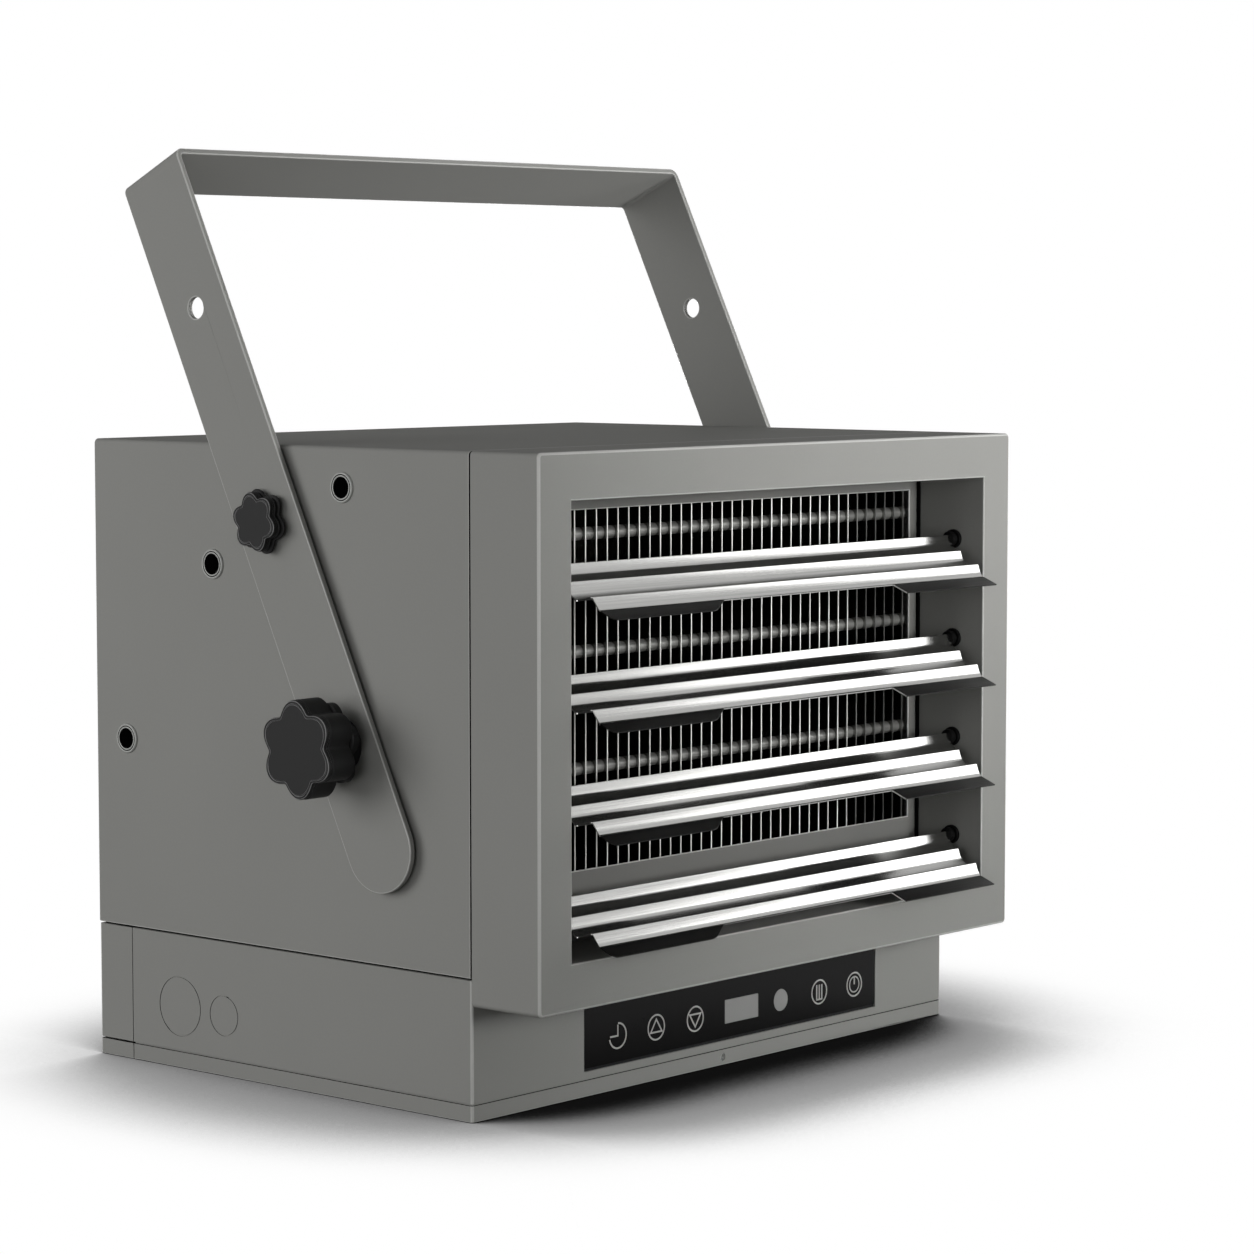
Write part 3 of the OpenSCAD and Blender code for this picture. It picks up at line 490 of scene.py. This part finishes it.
printed_line([(HEAT_X - 0.0022, KEY_Z - 0.0033), (HEAT_X + 0.0022, KEY_Z - 0.0033)])
printed_line(arc(POWER_X, KEY_Z, KEY_R), closed=True)
printed_line(arc(POWER_X, KEY_Z, RING_R), closed=True, width=THIN_LINE)
printed_line([(POWER_X, KEY_Z), (POWER_X, KEY_Z + RING_R)], width=BOLD_LINE)
bmesh.update_edit_mesh(keys.data)
bpy.ops.mesh.select_all(action="SELECT")
bpy.ops.mesh.extrude_region_move(TRANSFORM_OT_translate={"value": (0, -PRINT_T, 0)})
bpy.ops.mesh.select_all(action="SELECT")
bpy.ops.mesh.normals_make_consistent(inside=False)
bpy.ops.object.mode_set(mode="OBJECT")
# Screen printed ink: pale grey, matt, with pinholes of about 0.2 mm
ink = grained("screen_printed_ink", "#a3a3a0", "#b0b0ad", grain=0.0002, rough=0.6, spread=0.05,
              relief=0.000004, specular=0.2)
dress(keys, [ink], "panel_window", "cabinet")


# Boards and terminals: two green circuit boards with their relays, and the cream block
# where the supply is joined, on posts inside the base.
def recoat(node, material):
    """A CAD node keeps its mesh and takes a material."""
    part = frame["nodes"][node]
    part.data.materials.clear()
    part.data.materials.append(material)


# Solder mask over glass laminate: glossy green, with a weave near 1 mm under it
laminate = grained("solder_mask_laminate", "#245a30", "#2f6b3a", grain=0.001, rough=0.35, spread=0.08,
                   relief=0.00002)
# Urea moulding: cream, dense and faintly mottled
urea = grained("cream_urea_moulding", "#cfc9b8", "#ddd8c9", grain=0.002, rough=0.45, spread=0.06,
               relief=0.00002)
recoat("control_board", laminate)
recoat("relay_board", laminate)
recoat("terminal_block", urea)

# Cabinet: a floor plate painted black as shade in the seams, and one sheet folded over the top
# and down both sides, with flanges turned in and a punched hole for each insert.
FLOOR_Z = 0.0574
FRONT_EDGE_Y = -0.1091
REAR_EDGE_Y = 0.1099
recoat("chassis_floor", seam_shade_black)


def on_cabinet_rim(p, q):
    """The sheet's lower, front and rear edges."""
    return all(abs(r.z - FLOOR_Z) < LEVEL or r.y < FRONT_EDGE_Y or r.y > REAR_EDGE_Y for r in (p, q))


# The front edge and flange, in the seam beside the hood, are painted black as shade
softened("cabinet_wrap", "cabinet_shell", painted, "paint", "cabinet", 0.0003, 2, on_cabinet_rim,
         lambda p, n: p.y < FRONT_EDGE_Y and n.y < -0.9)

# Threaded inserts: zinc plated steel, pulled up in the sheet. A grooved collar stands out
# round each bore, and the thread of 1.25 mm pitch shows a little way in.
PIVOT = (-0.0440, 0.1457)
PITCH = 0.00125
INSERT_BACK = -0.0140
BORE_R = 0.00435
GROOVE = (0.00502, 0.00535)


def behind(reach, angle):
    """A place on the side, at a distance from the pivot and an angle behind upright."""
    a = math.radians(angle)
    return (PIVOT[0] + reach * math.sin(a), PIVOT[1] + reach * math.cos(a))


LOCK = behind(0.098, 25.8)
insert_places = [PIVOT, LOCK, behind(0.103, 2.5), behind(0.106, 49.5), behind(0.135, 93.3)]
collar = [(INSERT_BACK, 0.0054), (0, 0.0054), (0, 0.0063), (0.0005, 0.0063), (0.0009, 0.0060),
          (0.0010, 0.0057), (0.0009, 0.0054), (0.0007, 0.0052), (0.0007, 0.0051), (0.0009, 0.0050),
          (0.0010, 0.0047), (0.0009, 0.0044), (0.0005, 0.0042)]
thread = [(-PITCH * k / 2, 0.0041 if k % 2 == 0 else 0.0046) for k in range(22)]
insert_profile = collar + thread + [(INSERT_BACK, 0.0042), (INSERT_BACK, 0.0054)]
# Zinc dulled by the oven that bakes the powder: mid grey with a faint 0.6 mm streak
dull_zinc = grained("oven_dulled_zinc_plate", "#8a8b88", "#9e9f9c", grain=0.0006, rough=0.5, spread=0.06,
                    relief=0.00001, metallic=0.3, specular=0.3)
# Painted shade in the bore and in the collar's groove: soot black and quite dull
bore_shade = grained("bore_painted_shade", "#080808", "#0e0e0e", grain=0.0008, rough=0.8, spread=0.05,
                relief=0.00001, specular=0.02)
for side, word in ((-1, "left"), (1, "right")):
    for number, (y, z) in enumerate(insert_places):
        insert = turned(f"insert_{word}_{number + 1}", (side * SIDE_X, y, z), (side, 0, 0), insert_profile)
        for face in insert.data.polygons:
            reach = math.hypot(face.center.y - y, face.center.z - z)
            # The bore and the collar's groove take the painted shade
            if reach < BORE_R or GROOVE[0] < reach < GROOVE[1] and abs(face.center.x) > SIDE_X:
                face.material_index = 1
        smooth(insert, 50)
        dress(insert, [dull_zinc, bore_shade], "zinc", "cabinet", f"rivet_nuts_{word}")

# Bulkhead behind the hood: a painted sheet round the fins, with the thermostat under them.
# Its outer margin, in the seam beside the hood, is painted black as shade.
MARGIN_Z = (0.050, 0.261)
# Its powder is painted darker than the case's, as shade behind the hood, with the same orange peel of about
# 1 mm
shaded_powder = grained("powder_coat_painted_shade", "#6c6c69", "#747471", grain=0.001, rough=0.7, spread=0.05,
                      relief=0.00002, specular=0.015)
softened("front_bulkhead", "bulkhead_sheet", [shaded_powder, powder_edge_highlight, seam_shade_black], "paint_dark", "cabinet",
         0.0004, shaded=lambda p, n: abs(p.x) > SEAM_X or not MARGIN_Z[0] <= p.z <= MARGIN_Z[1])
recoat("thermal_cutout", zinc)

# Heating element: steel tubes in hairpins through a stack of sheared fins, between two
# end plates. The fins' sides are darkened as painted shade, and their cut front edges are light.
FIN_FRONT_Y = -0.1089
BRIGHT_CUT = 0.0005
EDGE_SHADE_X = (0.084, 0.094)
fin_stock, tree, shader = finish("fin_stock_painted_shade")
# Rolled strip, sheared: the sides shine darkly in a grey painted shade, and the front 0.5 mm
# is the paler cut, partly bare metal and partly a painted highlight
place = add(tree, "TexCoord")
part = add(tree, "SeparateXYZ", {0: place.outputs["Object"]})
edge = add(tree, "MapRange", {"Value": part.outputs["Y"], "From Min": FIN_FRONT_Y,
                              "From Max": FIN_FRONT_Y + BRIGHT_CUT, "To Min": 1.0, "To Max": 0.0})
# The sides' tone wanders over about 15 mm
bloom = add(tree, "TexNoise", {"Vector": place.outputs["Object"], "Scale": 65, "Detail": 3})
fin_side_shade = add(tree, "Mix", {0: bloom.outputs["Fac"], 6: linear("#828280"), 7: linear("#9c9c99")},
            data_type="RGBA")
# A painted highlight brightens the cut edges toward the right; painted shade dulls them near the right end
# plate
along = add(tree, "MapRange", {"Value": part.outputs["X"], "From Min": -0.12, "From Max": 0.08})
fin_edge_highlight = add(tree, "Mix", {0: along.outputs[0], 6: linear("#a6a6a2"), 7: linear("#f2f2ee")},
             data_type="RGBA")
end_plate_shade = add(tree, "MapRange", {"Value": part.outputs["X"], "From Min": EDGE_SHADE_X[0], "From Max": EDGE_SHADE_X[1]})
cut = add(tree, "Mix", {0: end_plate_shade.outputs[0], 6: fin_edge_highlight.outputs[2], 7: linear("#6e6e6c")}, data_type="RGBA")
tone = add(tree, "Mix", {0: edge.outputs[0], 6: fin_side_shade.outputs[2], 7: cut.outputs[2]}, data_type="RGBA")
tree.links.new(tone.outputs[2], shader.inputs["Base Color"])
dull = add(tree, "MapRange", {"Value": bloom.outputs["Fac"], "To Min": 0.12, "To Max": 0.2})
cut_edge = add(tree, "Mix", {0: edge.outputs[0], 2: dull.outputs[0], 3: 0.5}, data_type="FLOAT")
tree.links.new(cut_edge.outputs[0], shader.inputs["Roughness"])
shader.inputs["Metallic"].default_value = 1.0
recoat("element_fins", fin_stock)
# Drawn steel sheath, bead blasted: mid grey, with soft lines 0.5 mm apart along the tube
sheath = grained("blasted_steel_sheath", "#6e6e6b", "#868683", grain=0.0005, rough=0.35, spread=0.08,
                 relief=0.00001, metallic=0.5, stretch=(0.03, 1, 1))
# Galvanised sheet: bright grey with a spangle of about 6 mm
spangled = grained("galvanised_sheet", "#8e8f8d", "#aeafad", grain=0.006, rough=0.42, spread=0.12,
                   relief=0.00001, metallic=0.9, cloud=0.02)
for i in range(1, 5):
    hairpin = merged_copy(f"element_tube_{i}", f"hairpin_tube_{i}")
    smooth(hairpin)
    dress(hairpin, [sheath], "element_steel", "cabinet", f"element_tube_{i}")
softened("element_end_plates", "end_plates", [spangled], "zinc", "cabinet", 0.0002)

# Fan: a pressed ring on its plate, a motor on a strap across the cabinet, and five
# cambered blades on a hub.
# Phosphated sheet: dark grey and dull, with crystals near 1 mm
phosphated = grained("phosphated_sheet", "#343432", "#40403e", grain=0.001, rough=0.7, spread=0.06,
                     relief=0.00002, specular=0.2)
# Sprayed enamel on the motor's can, thicker than powder and a little glossy
enamel = grained("grey_motor_enamel", "#62625f", "#70706d", grain=0.002, rough=0.38, spread=0.06,
                 relief=0.00002)
# Pressed aluminium, dulled by handling, with rolling lines 0.8 mm apart
pressed = grained("pressed_aluminium", "#5c5d57", "#76776f", grain=0.0008, rough=0.45, spread=0.08,
                  relief=0.00001, metallic=0.8, stretch=(0.1, 1, 1))
softened("fan_shroud", "fan_ring", [phosphated], "paint_dark", "cabinet", 0.0002)
softened("motor_mount", "motor_strap", [phosphated], "paint_dark", "cabinet", 0.0004)
softened("fan_motor", "motor_can", [enamel], "motor_grey", "cabinet", 0.0008, 3)
softened("motor_shaft", "fan_spindle", [zinc], "zinc", "fan", 0.0004)
softened("fan_blade", "fan_rotor", [pressed], "motor_grey", "fan", 0.0003)

# Rear: a panel with the round air inlet, the stamped guard inside it, and the four pan
# head screws that hold the guard.
def cross_recess(piece, place, axis, span, width, depth):
    """Cuts the cross of a screwdriver recess into a screw's head."""
    turn = Vector(axis).to_track_quat("Z", "Y").to_matrix().to_4x4()
    for size in ((span, width, 2 * depth), (width, span, 2 * depth)):
        cut_box(piece, Matrix.Translation(place) @ turn, size)


softened("rear_panel", "rear_sheet", painted, "paint", "cabinet", 0.0002)
# Black oxide on mild steel: near black, satin, with a fine tooth of 0.5 mm
blacked = grained("black_oxide_steel", "#232323", "#303030", grain=0.0005, rough=0.5, spread=0.08,
                  relief=0.00001, metallic=0.3, specular=0.4)
recoat("rear_guard", blacked)
HUB_Z = 0.1607
GUARD_REACH = 0.0982
HEAD_H = 0.0016
head = [(-0.0050, 0.0015), (0, 0.0015), (0, 0.0028), (0.0007, 0.0028), (0.0012, 0.0024), (0.0015, 0.0016),
        (HEAD_H, 0.0008)]
for number in range(4):
    a = math.radians(45 + 90 * number)
    spot = (GUARD_REACH * math.cos(a), REAR_Y, HUB_Z + GUARD_REACH * math.sin(a))
    screw = turned(f"guard_screw_{number + 1}", spot, (0, 1, 0), head, sides=32)
    cross_recess(screw, Vector(spot) + Vector((0, HEAD_H, 0)), (0, 1, 0), span=0.0030, width=0.0007,
                 depth=0.0009)
    smooth(screw, 35)
    dress(screw, [zinc], "zinc", "cabinet", "guard_screws")

# Hood: a tray folded round all four sides, with a tunnel behind its window. Its folds are
# rounder than a cut edge, and a painted highlight on them draws fine bright lines.
HOOD_Y = -0.146
HOOD_Z = 0.046
TOP_Z = 0.265
HOOD_CORNER = 0.0021
WINDOW_X = 0.136
WINDOW_Z = (0.065, 0.246)


def on_hood_rim(p):
    """On the outer edge of the hood's face, round corners included."""
    outer = (abs(p.x) > SIDE_X - HOOD_CORNER or p.z < HOOD_Z + HOOD_CORNER
             or p.z > TOP_Z - HOOD_CORNER)
    return abs(p.y - HOOD_Y) < LEVEL and outer


def on_window_rim(p):
    """On the edge of the window in the hood's face."""
    near_x = abs(abs(p.x) - WINDOW_X) < LEVEL
    near_z = min(abs(p.z - z) for z in WINDOW_Z) < LEVEL
    return abs(p.y - HOOD_Y) < LEVEL and (near_x or near_z)


hood = merged_copy("front_hood", "hood_shell")
ease(hood, 0.0010, 4, lambda p, q: on_hood_rim(p) and on_hood_rim(q), 1)
ease(hood, 0.0006, 3, lambda p, q: on_window_rim(p) and on_window_rim(q), 1)
smooth(hood)
dress(hood, painted, "paint_hood", "cabinet", "front_hood")

# Tunnel shade: a black strip stands at the rear end of each tunnel wall, a painted shade in the
# seam between the hood and the bulkhead. From the front it is a thin black line.
# Black and dull, with a grain near 1 mm
black_strip_shade = grained("black_strip_painted_shade", "#060606", "#0b0b0b", grain=0.001, rough=0.9, spread=0.05,
               relief=0.00005, specular=0.02)
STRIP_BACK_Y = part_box("front_bulkhead")[0][1]
STRIP_W = 0.0013
STRIP_D = 0.0016
SIDE_GAP = 0.00005
END_GAP = 0.0002
for side, word in ((-1, "left"), (1, "right")):
    bpy.ops.object.select_all(action="DESELECT")
    bpy.ops.mesh.primitive_cube_add(size=1)
    shade_strip = bpy.context.object
    shade_strip.name = shade_strip.data.name = f"tunnel_shade_strip_{word}"
    low, high = WINDOW_Z
    centre = (side * (WINDOW_X - SIDE_GAP - STRIP_W / 2), STRIP_BACK_Y - STRIP_D / 2, (low + high) / 2)
    size = (STRIP_W, STRIP_D, high - low - 2 * END_GAP)
    shade_strip.data.transform(Matrix.Translation(centre) @ Matrix.Diagonal((*size, 1)))
    ease(shade_strip, 0.0003)
    smooth(shade_strip)
    dress(shade_strip, [black_strip_shade], "black_plastic", "cabinet")

# Louvres: thin bright aluminium, rolled into three steep faces with a flange at each end
# of the nose, brushed along the length and left bare. They turn in black acetal bushes.
bright, tree, shader = finish("brushed_aluminium")
place = add(tree, "TexCoord")
# Brush lines of about 0.4 mm that run some 80 mm along the blade
lines = add(tree, "Mapping", {"Vector": place.outputs["Object"], "Scale": (12, 2400, 2400)})
brushed = add(tree, "TexNoise", {"Vector": lines.outputs[0], "Scale": 1, "Detail": 3, "Roughness": 0.65})
tone = add(tree, "Mix", {0: brushed.outputs["Fac"], 6: linear("#989896"), 7: linear("#b6b6b4")},
           data_type="RGBA")
tree.links.new(tone.outputs[2], shader.inputs["Base Color"])
dull = add(tree, "MapRange", {"Value": brushed.outputs["Fac"], "To Min": 0.12, "To Max": 0.22})
tree.links.new(dull.outputs[0], shader.inputs["Roughness"])
bump = add(tree, "Bump", {"Height": brushed.outputs["Fac"], "Strength": 0.1, "Distance": 0.00003})
tree.links.new(bump.outputs[0], shader.inputs["Normal"])
shader.inputs["Metallic"].default_value = 1.0
# The same sheet in the valleys and on the flanges, painted dark as shade, in streaks 1 mm
# apart along the blade
valley_shade = grained("aluminium_valley_painted_shade", "#141413", "#20201f", grain=0.001, rough=0.4, spread=0.06,
                 relief=0.00001, metallic=1.0, stretch=(0.02, 1, 1))
# The sheared left edge of the right flange, painted almost white as a highlight, with lines
# 0.3 mm apart
flange_edge_highlight = grained("aluminium_edge_painted_highlight", "#e6e6e4", "#f4f4f2", grain=0.0003, rough=0.5, spread=0.05,
                  relief=0.00001, metallic=0.2)
# Acetal bushes and plugs: deep black, waxy and almost without grain
acetal = grained("black_acetal", "#090909", "#0e0e0e", grain=0.002, rough=0.5, spread=0.05,
                 relief=0.00001, specular=0.06)
# The blade's section from rear to nose, as (forward, up) from its pivot
folds = [(-0.0026, 0.0004), (0.0010, 0.0020), (0.0021, -0.0015), (0.0030, -0.0028), (0.0058, -0.0056),
         (0.0106, -0.0042), (0.0118, -0.0077), (0.0129, -0.0092), (0.0154, -0.0113),
         (0.0202, -0.0098), (0.0214, -0.0133), (0.0226, -0.0149)]
NOSE_LIP = (0.0006, -0.0004)
FLANGE = (0.0072, -0.0030)
FLANGE_FROM = folds[-1][0] + 0.0009
# The left end is cut on the slant, and the rear strip reaches over the right plug: the x of
# both ends up to each forward distance
PLUG_X = 0.1260
ENDS = [(0.0058, -0.1330, 0.1312), (0.0154, -0.1330, PLUG_X), (0.0202, -0.1290, PLUG_X),
        (0.0226, -0.1275, PLUG_X)]
NOTCH_LEFT = -0.052
NOTCH_RIGHT = 0.061
SLANT = 0.013
VALLEYS = [(0.0062, 0.0102), (0.0158, 0.0198)]
SHEET = 0.0005
# Points nearer than this to a line lie on it
ON_LINE = 1e-6


def pull_edges(piece, found, step, slide=None):
    """Extrudes the boundary edges that are found, and slides the ends of the new edge along."""
    bpy.ops.mesh.select_all(action="DESELECT")
    skin = bmesh.from_edit_mesh(piece.data)
    for edge in skin.edges:
        if edge.is_boundary and found(edge.verts[0].co) and found(edge.verts[1].co):
            edge.select_set(True)
    bmesh.update_edit_mesh(piece.data)
    bpy.ops.mesh.extrude_region_move(TRANSFORM_OT_translate={"value": (0, -step[0], step[1])})
    if slide:
        skin = bmesh.from_edit_mesh(piece.data)
        for v in skin.verts:
            if v.select:
                v.co.x += slide(v.co.x)
        bmesh.update_edit_mesh(piece.data)


def rolled_blade(name, y, z):
    """A sheet folded step by step from its rear edge to the nose, with a flange at each end."""
    bpy.ops.object.select_all(action="DESELECT")
    bpy.ops.mesh.primitive_plane_add(size=1)
    piece = bpy.context.object
    piece.name = piece.data.name = name
    for v in piece.data.vertices:
        forward, up = folds[1] if v.co.y < 0 else folds[0]
        v.co = (math.copysign(PLUG_X, v.co.x), y - forward, z + up)
    bpy.ops.object.mode_set(mode="EDIT")
    for before, after in zip(folds[1:], folds[2:]):
        last = y - before[0]
        pull_edges(piece, lambda p: abs(p.y - last) < ON_LINE, (after[0] - before[0], after[1] - before[1]))
    skin = bmesh.from_edit_mesh(piece.data)
    for v in skin.verts:
        left, right = next(ends for forward, *ends in ENDS if y - v.co.y < forward + ON_LINE)
        v.co.x = left if v.co.x < 0 else right
    bmesh.update_edit_mesh(piece.data)
    for x in (NOTCH_LEFT, NOTCH_RIGHT):
        bpy.ops.mesh.select_all(action="SELECT")
        bpy.ops.mesh.bisect(plane_co=(x, 0, 0), plane_no=(1, 0, 0))
    nose = y - folds[-1][0]
    pull_edges(piece, lambda p: abs(p.y - nose) < ON_LINE, NOSE_LIP)
    lip = nose - NOSE_LIP[0]
    pull_edges(piece, lambda p: abs(p.y - lip) < ON_LINE and p.x < NOTCH_LEFT + ON_LINE, FLANGE,
               lambda x: -SLANT if x > ENDS[-1][1] + 0.01 else 0)
    pull_edges(piece, lambda p: abs(p.y - lip) < ON_LINE and p.x > NOTCH_RIGHT - ON_LINE, FLANGE)
    tip = lip - FLANGE[0]
    bpy.ops.mesh.select_mode(type="VERT")
    bpy.ops.mesh.select_all(action="DESELECT")
    skin = bmesh.from_edit_mesh(piece.data)
    for v in skin.verts:
        v.select_set(abs(v.co.y - tip) < ON_LINE and v.co.x < NOTCH_LEFT)
    bmesh.update_edit_mesh(piece.data)
    bpy.ops.mesh.bevel(offset=0.003, segments=5, affect="VERTICES")
    bpy.ops.mesh.select_all(action="SELECT")
    bpy.ops.mesh.normals_make_consistent(inside=False)
    bpy.ops.mesh.select_all(action="DESELECT")
    bpy.ops.object.mode_set(mode="OBJECT")
    if sum(face.normal.z * face.area for face in piece.data.polygons) < 0:
        piece.data.flip_normals()
    ease(piece, 0.00045, 3)
    wall = piece.modifiers.new("sheet", "SOLIDIFY")
    wall.thickness = SHEET
    wall.offset = -1
    wall.use_even_offset = True
    bpy.ops.object.modifier_apply(modifier=wall.name)
    # The valleys and flanges take the painted shade, the right flange's left edge the painted highlight
    for face in piece.data.polygons:
        forward = y - face.center.y
        on_flange = forward > FLANGE_FROM
        if on_flange and face.center.x > 0 and face.normal.x < -0.7:
            face.material_index = 2
        elif on_flange or any(a < forward < b for a, b in VALLEYS):
            face.material_index = 1
    return piece


for i in range(1, 5):
    low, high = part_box(f"louvre_pins_{i}")
    y, z = (low[1] + high[1]) / 2, (low[2] + high[2]) / 2
    blade = rolled_blade(f"louvre_strip_{i}", y, z)
    smooth(blade, 30)
    dress(blade, [bright, valley_shade, flange_edge_highlight], "louvre_aluminium", f"louvre_blade_{i}", f"louvre_{i}")
    # Its end plugs: a slim core inside the strip, a collar and the pin that turns in the bush
    for side, word, reach in ((-1, "left", 0.0071), (1, "right", 0.0053)):
        rings = [(0, 0.0011), (0.0002, 0.0013), (reach, 0.0013), (reach, 0.0030), (reach + 0.0002, 0.0032),
                 (0.0080, 0.0032), (0.0082, 0.0030), (0.0082, 0.0020), (0.0127, 0.0020), (0.0130, 0.0017)]
        plug = turned(f"louvre_plug_{word}_{i}", (side * PLUG_X, y, z), (side, 0, 0), rings, sides=40)
        smooth(plug, 35)
        dress(plug, [acetal], "black_plastic", f"louvre_blade_{i}", f"louvre_pins_{i}")
softened("louvre_bushes", "bush_set", [acetal], "black_plastic", "cabinet", 0.0004, 3)

# Bracket: a strip of 2.5 mm steel bent into a U, its edges tumbled round before coating,
# held off the inserts by two zinc plated washers.
softened("bracket", "bracket_strap", painted, "paint", "tilt_bracket", 0.0005, 3)
washer = [(0.0010, 0.0042), (0.0022, 0.0042), (0.0024, 0.0044), (0.0024, 0.0106), (0.0021, 0.0110),
          (0.0013, 0.0110), (0.0010, 0.0106), (0.0010, 0.0042)]
for side, word in ((-1, "left"), (1, "right")):
    ring = turned(f"pivot_washer_{word}", (side * SIDE_X, *PIVOT), (side, 0, 0), washer)
    smooth(ring, 40)
    dress(ring, [zinc], "zinc", "cabinet", "pivot_washers")

# Star knobs: glass-filled nylon moulded on threaded studs. Each has a head of six broad
# lobes with a flat face and a grooved rim, a thin lobed step behind it and a round neck.
KNOB_X = 0.1601
LOBES = 6
# How far in the hollows lie, as a share of the radius, and how round their bottoms are
HOLLOW = 0.79
BLUNT = 0.06


def star(phase):
    """How far the outline stands out at an angle, as a share of the lobe radius."""
    def outline(a):
        wave = abs(math.cos(LOBES * (a - math.radians(phase)) / 2))
        low, high = math.sqrt(BLUNT), math.sqrt(1 + BLUNT)
        return HOLLOW + (1 - HOLLOW) * ((math.sqrt(wave * wave + BLUNT) - low) / (high - low))
    return outline


def rimmed(back, front, r, form):
    """Rings of a head from its back edge to its face, with a groove in the wall and an eased rim."""
    rings = [(back, r - 0.0010), (back + 0.0003, r - 0.0003), (back + 0.0008, r), (front - 0.0031, r),
             (front - 0.0028, r - 0.0004), (front - 0.0022, r - 0.0004), (front - 0.0019, r - 0.0001),
             (front - 0.0008, r - 0.0001), (front - 0.0004, r - 0.0003), (front - 0.0001, r - 0.0006),
             (front, r - 0.0010), (front - 0.0001, r - 0.0014), (front - 0.0003, r - 0.0016),
             (front - 0.0003, r - 0.0019), (front - 0.0001, r - 0.0021)]
    return [(distance, radius, form) for distance, radius in rings]


def stepped(back, front, r, form):
    """Rings of the lobed step behind a head."""
    return [(back, r - 0.0006, form), (back + 0.0005, r, form), (front - 0.0006, r, form),
            (front - 0.0002, r - 0.0005, form)]


# The same nylon on the rim and beside the groove, lighter and glossier as a painted
# highlight, so that it draws a pale line
knob_edge_highlight = grained("nylon_edge_painted_highlight", "#606060", "#747474", grain=0.0007, rough=0.34, spread=0.05,
                  relief=0.00001, specular=0.5)
# Those lines, as distances from the face
RIM_LINES = ((-0.0021, -0.0020), (-0.0003, -0.0002))


def studded(word, kind, side, centre, head_r, head_phase, step, neck, depths, stud_from, stud_to):
    """A knob and its stud, both turning with the knob's own body."""
    neck_l, step_l, head_l = depths
    head_form, step_form = (star(angle if side > 0 else 180 - angle) for angle in (head_phase, step[1]))
    front = neck_l + step_l + head_l
    profile = ([(0, neck - 0.0004), (0.0004, neck), (neck_l, neck)]
               + stepped(neck_l, neck_l + step_l, step[0], step_form)
               + rimmed(neck_l + step_l, front, head_r, head_form))
    knob = turned(f"{kind}_star_{word}", (side * KNOB_X, *centre), (side, 0, 0), profile, sides=144)
    for face in knob.data.polygons:
        away = abs(face.center.x) - KNOB_X - front
        if len(face.vertices) < 5 and any(a < away < b for a, b in RIM_LINES):
            face.material_index = 1
    smooth(knob, 35)
    dress(knob, [nylon, knob_edge_highlight], "black_plastic", f"{word}_{kind}_knob", f"{kind}_knob_{word}")
    count = int((stud_to - stud_from - 0.001) / PITCH * 2)
    ridges = [(stud_from + 0.0005 + k * PITCH / 2, 0.0039 if k % 2 == 0 else 0.0035) for k in range(count)]
    rod = [(stud_from, 0.0033)] + ridges + [(stud_to, 0.0034)]
    stud = turned(f"{kind}_thread_{word}", (side * SIDE_X, *centre), (side, 0, 0), rod, sides=32)
    smooth(stud, 30)
    dress(stud, [zinc], "zinc", f"{word}_{kind}_knob", f"{kind}_stud_{word}")


for side, word in ((-1, "left"), (1, "right")):
    studded(word, "pivot", side, PIVOT, head_r=0.0200, head_phase=84, step=(0.0180, 101), neck=0.0110,
            depths=(0.0073, 0.0042, 0.0148), stud_from=-0.013, stud_to=0.0141)
    studded(word, "lock", side, LOCK, head_r=0.0125, head_phase=74, step=(0.0135, 74), neck=0.0080,
            depths=(0.0021, 0.0018, 0.0042), stud_from=0.0025, stud_to=0.0091)
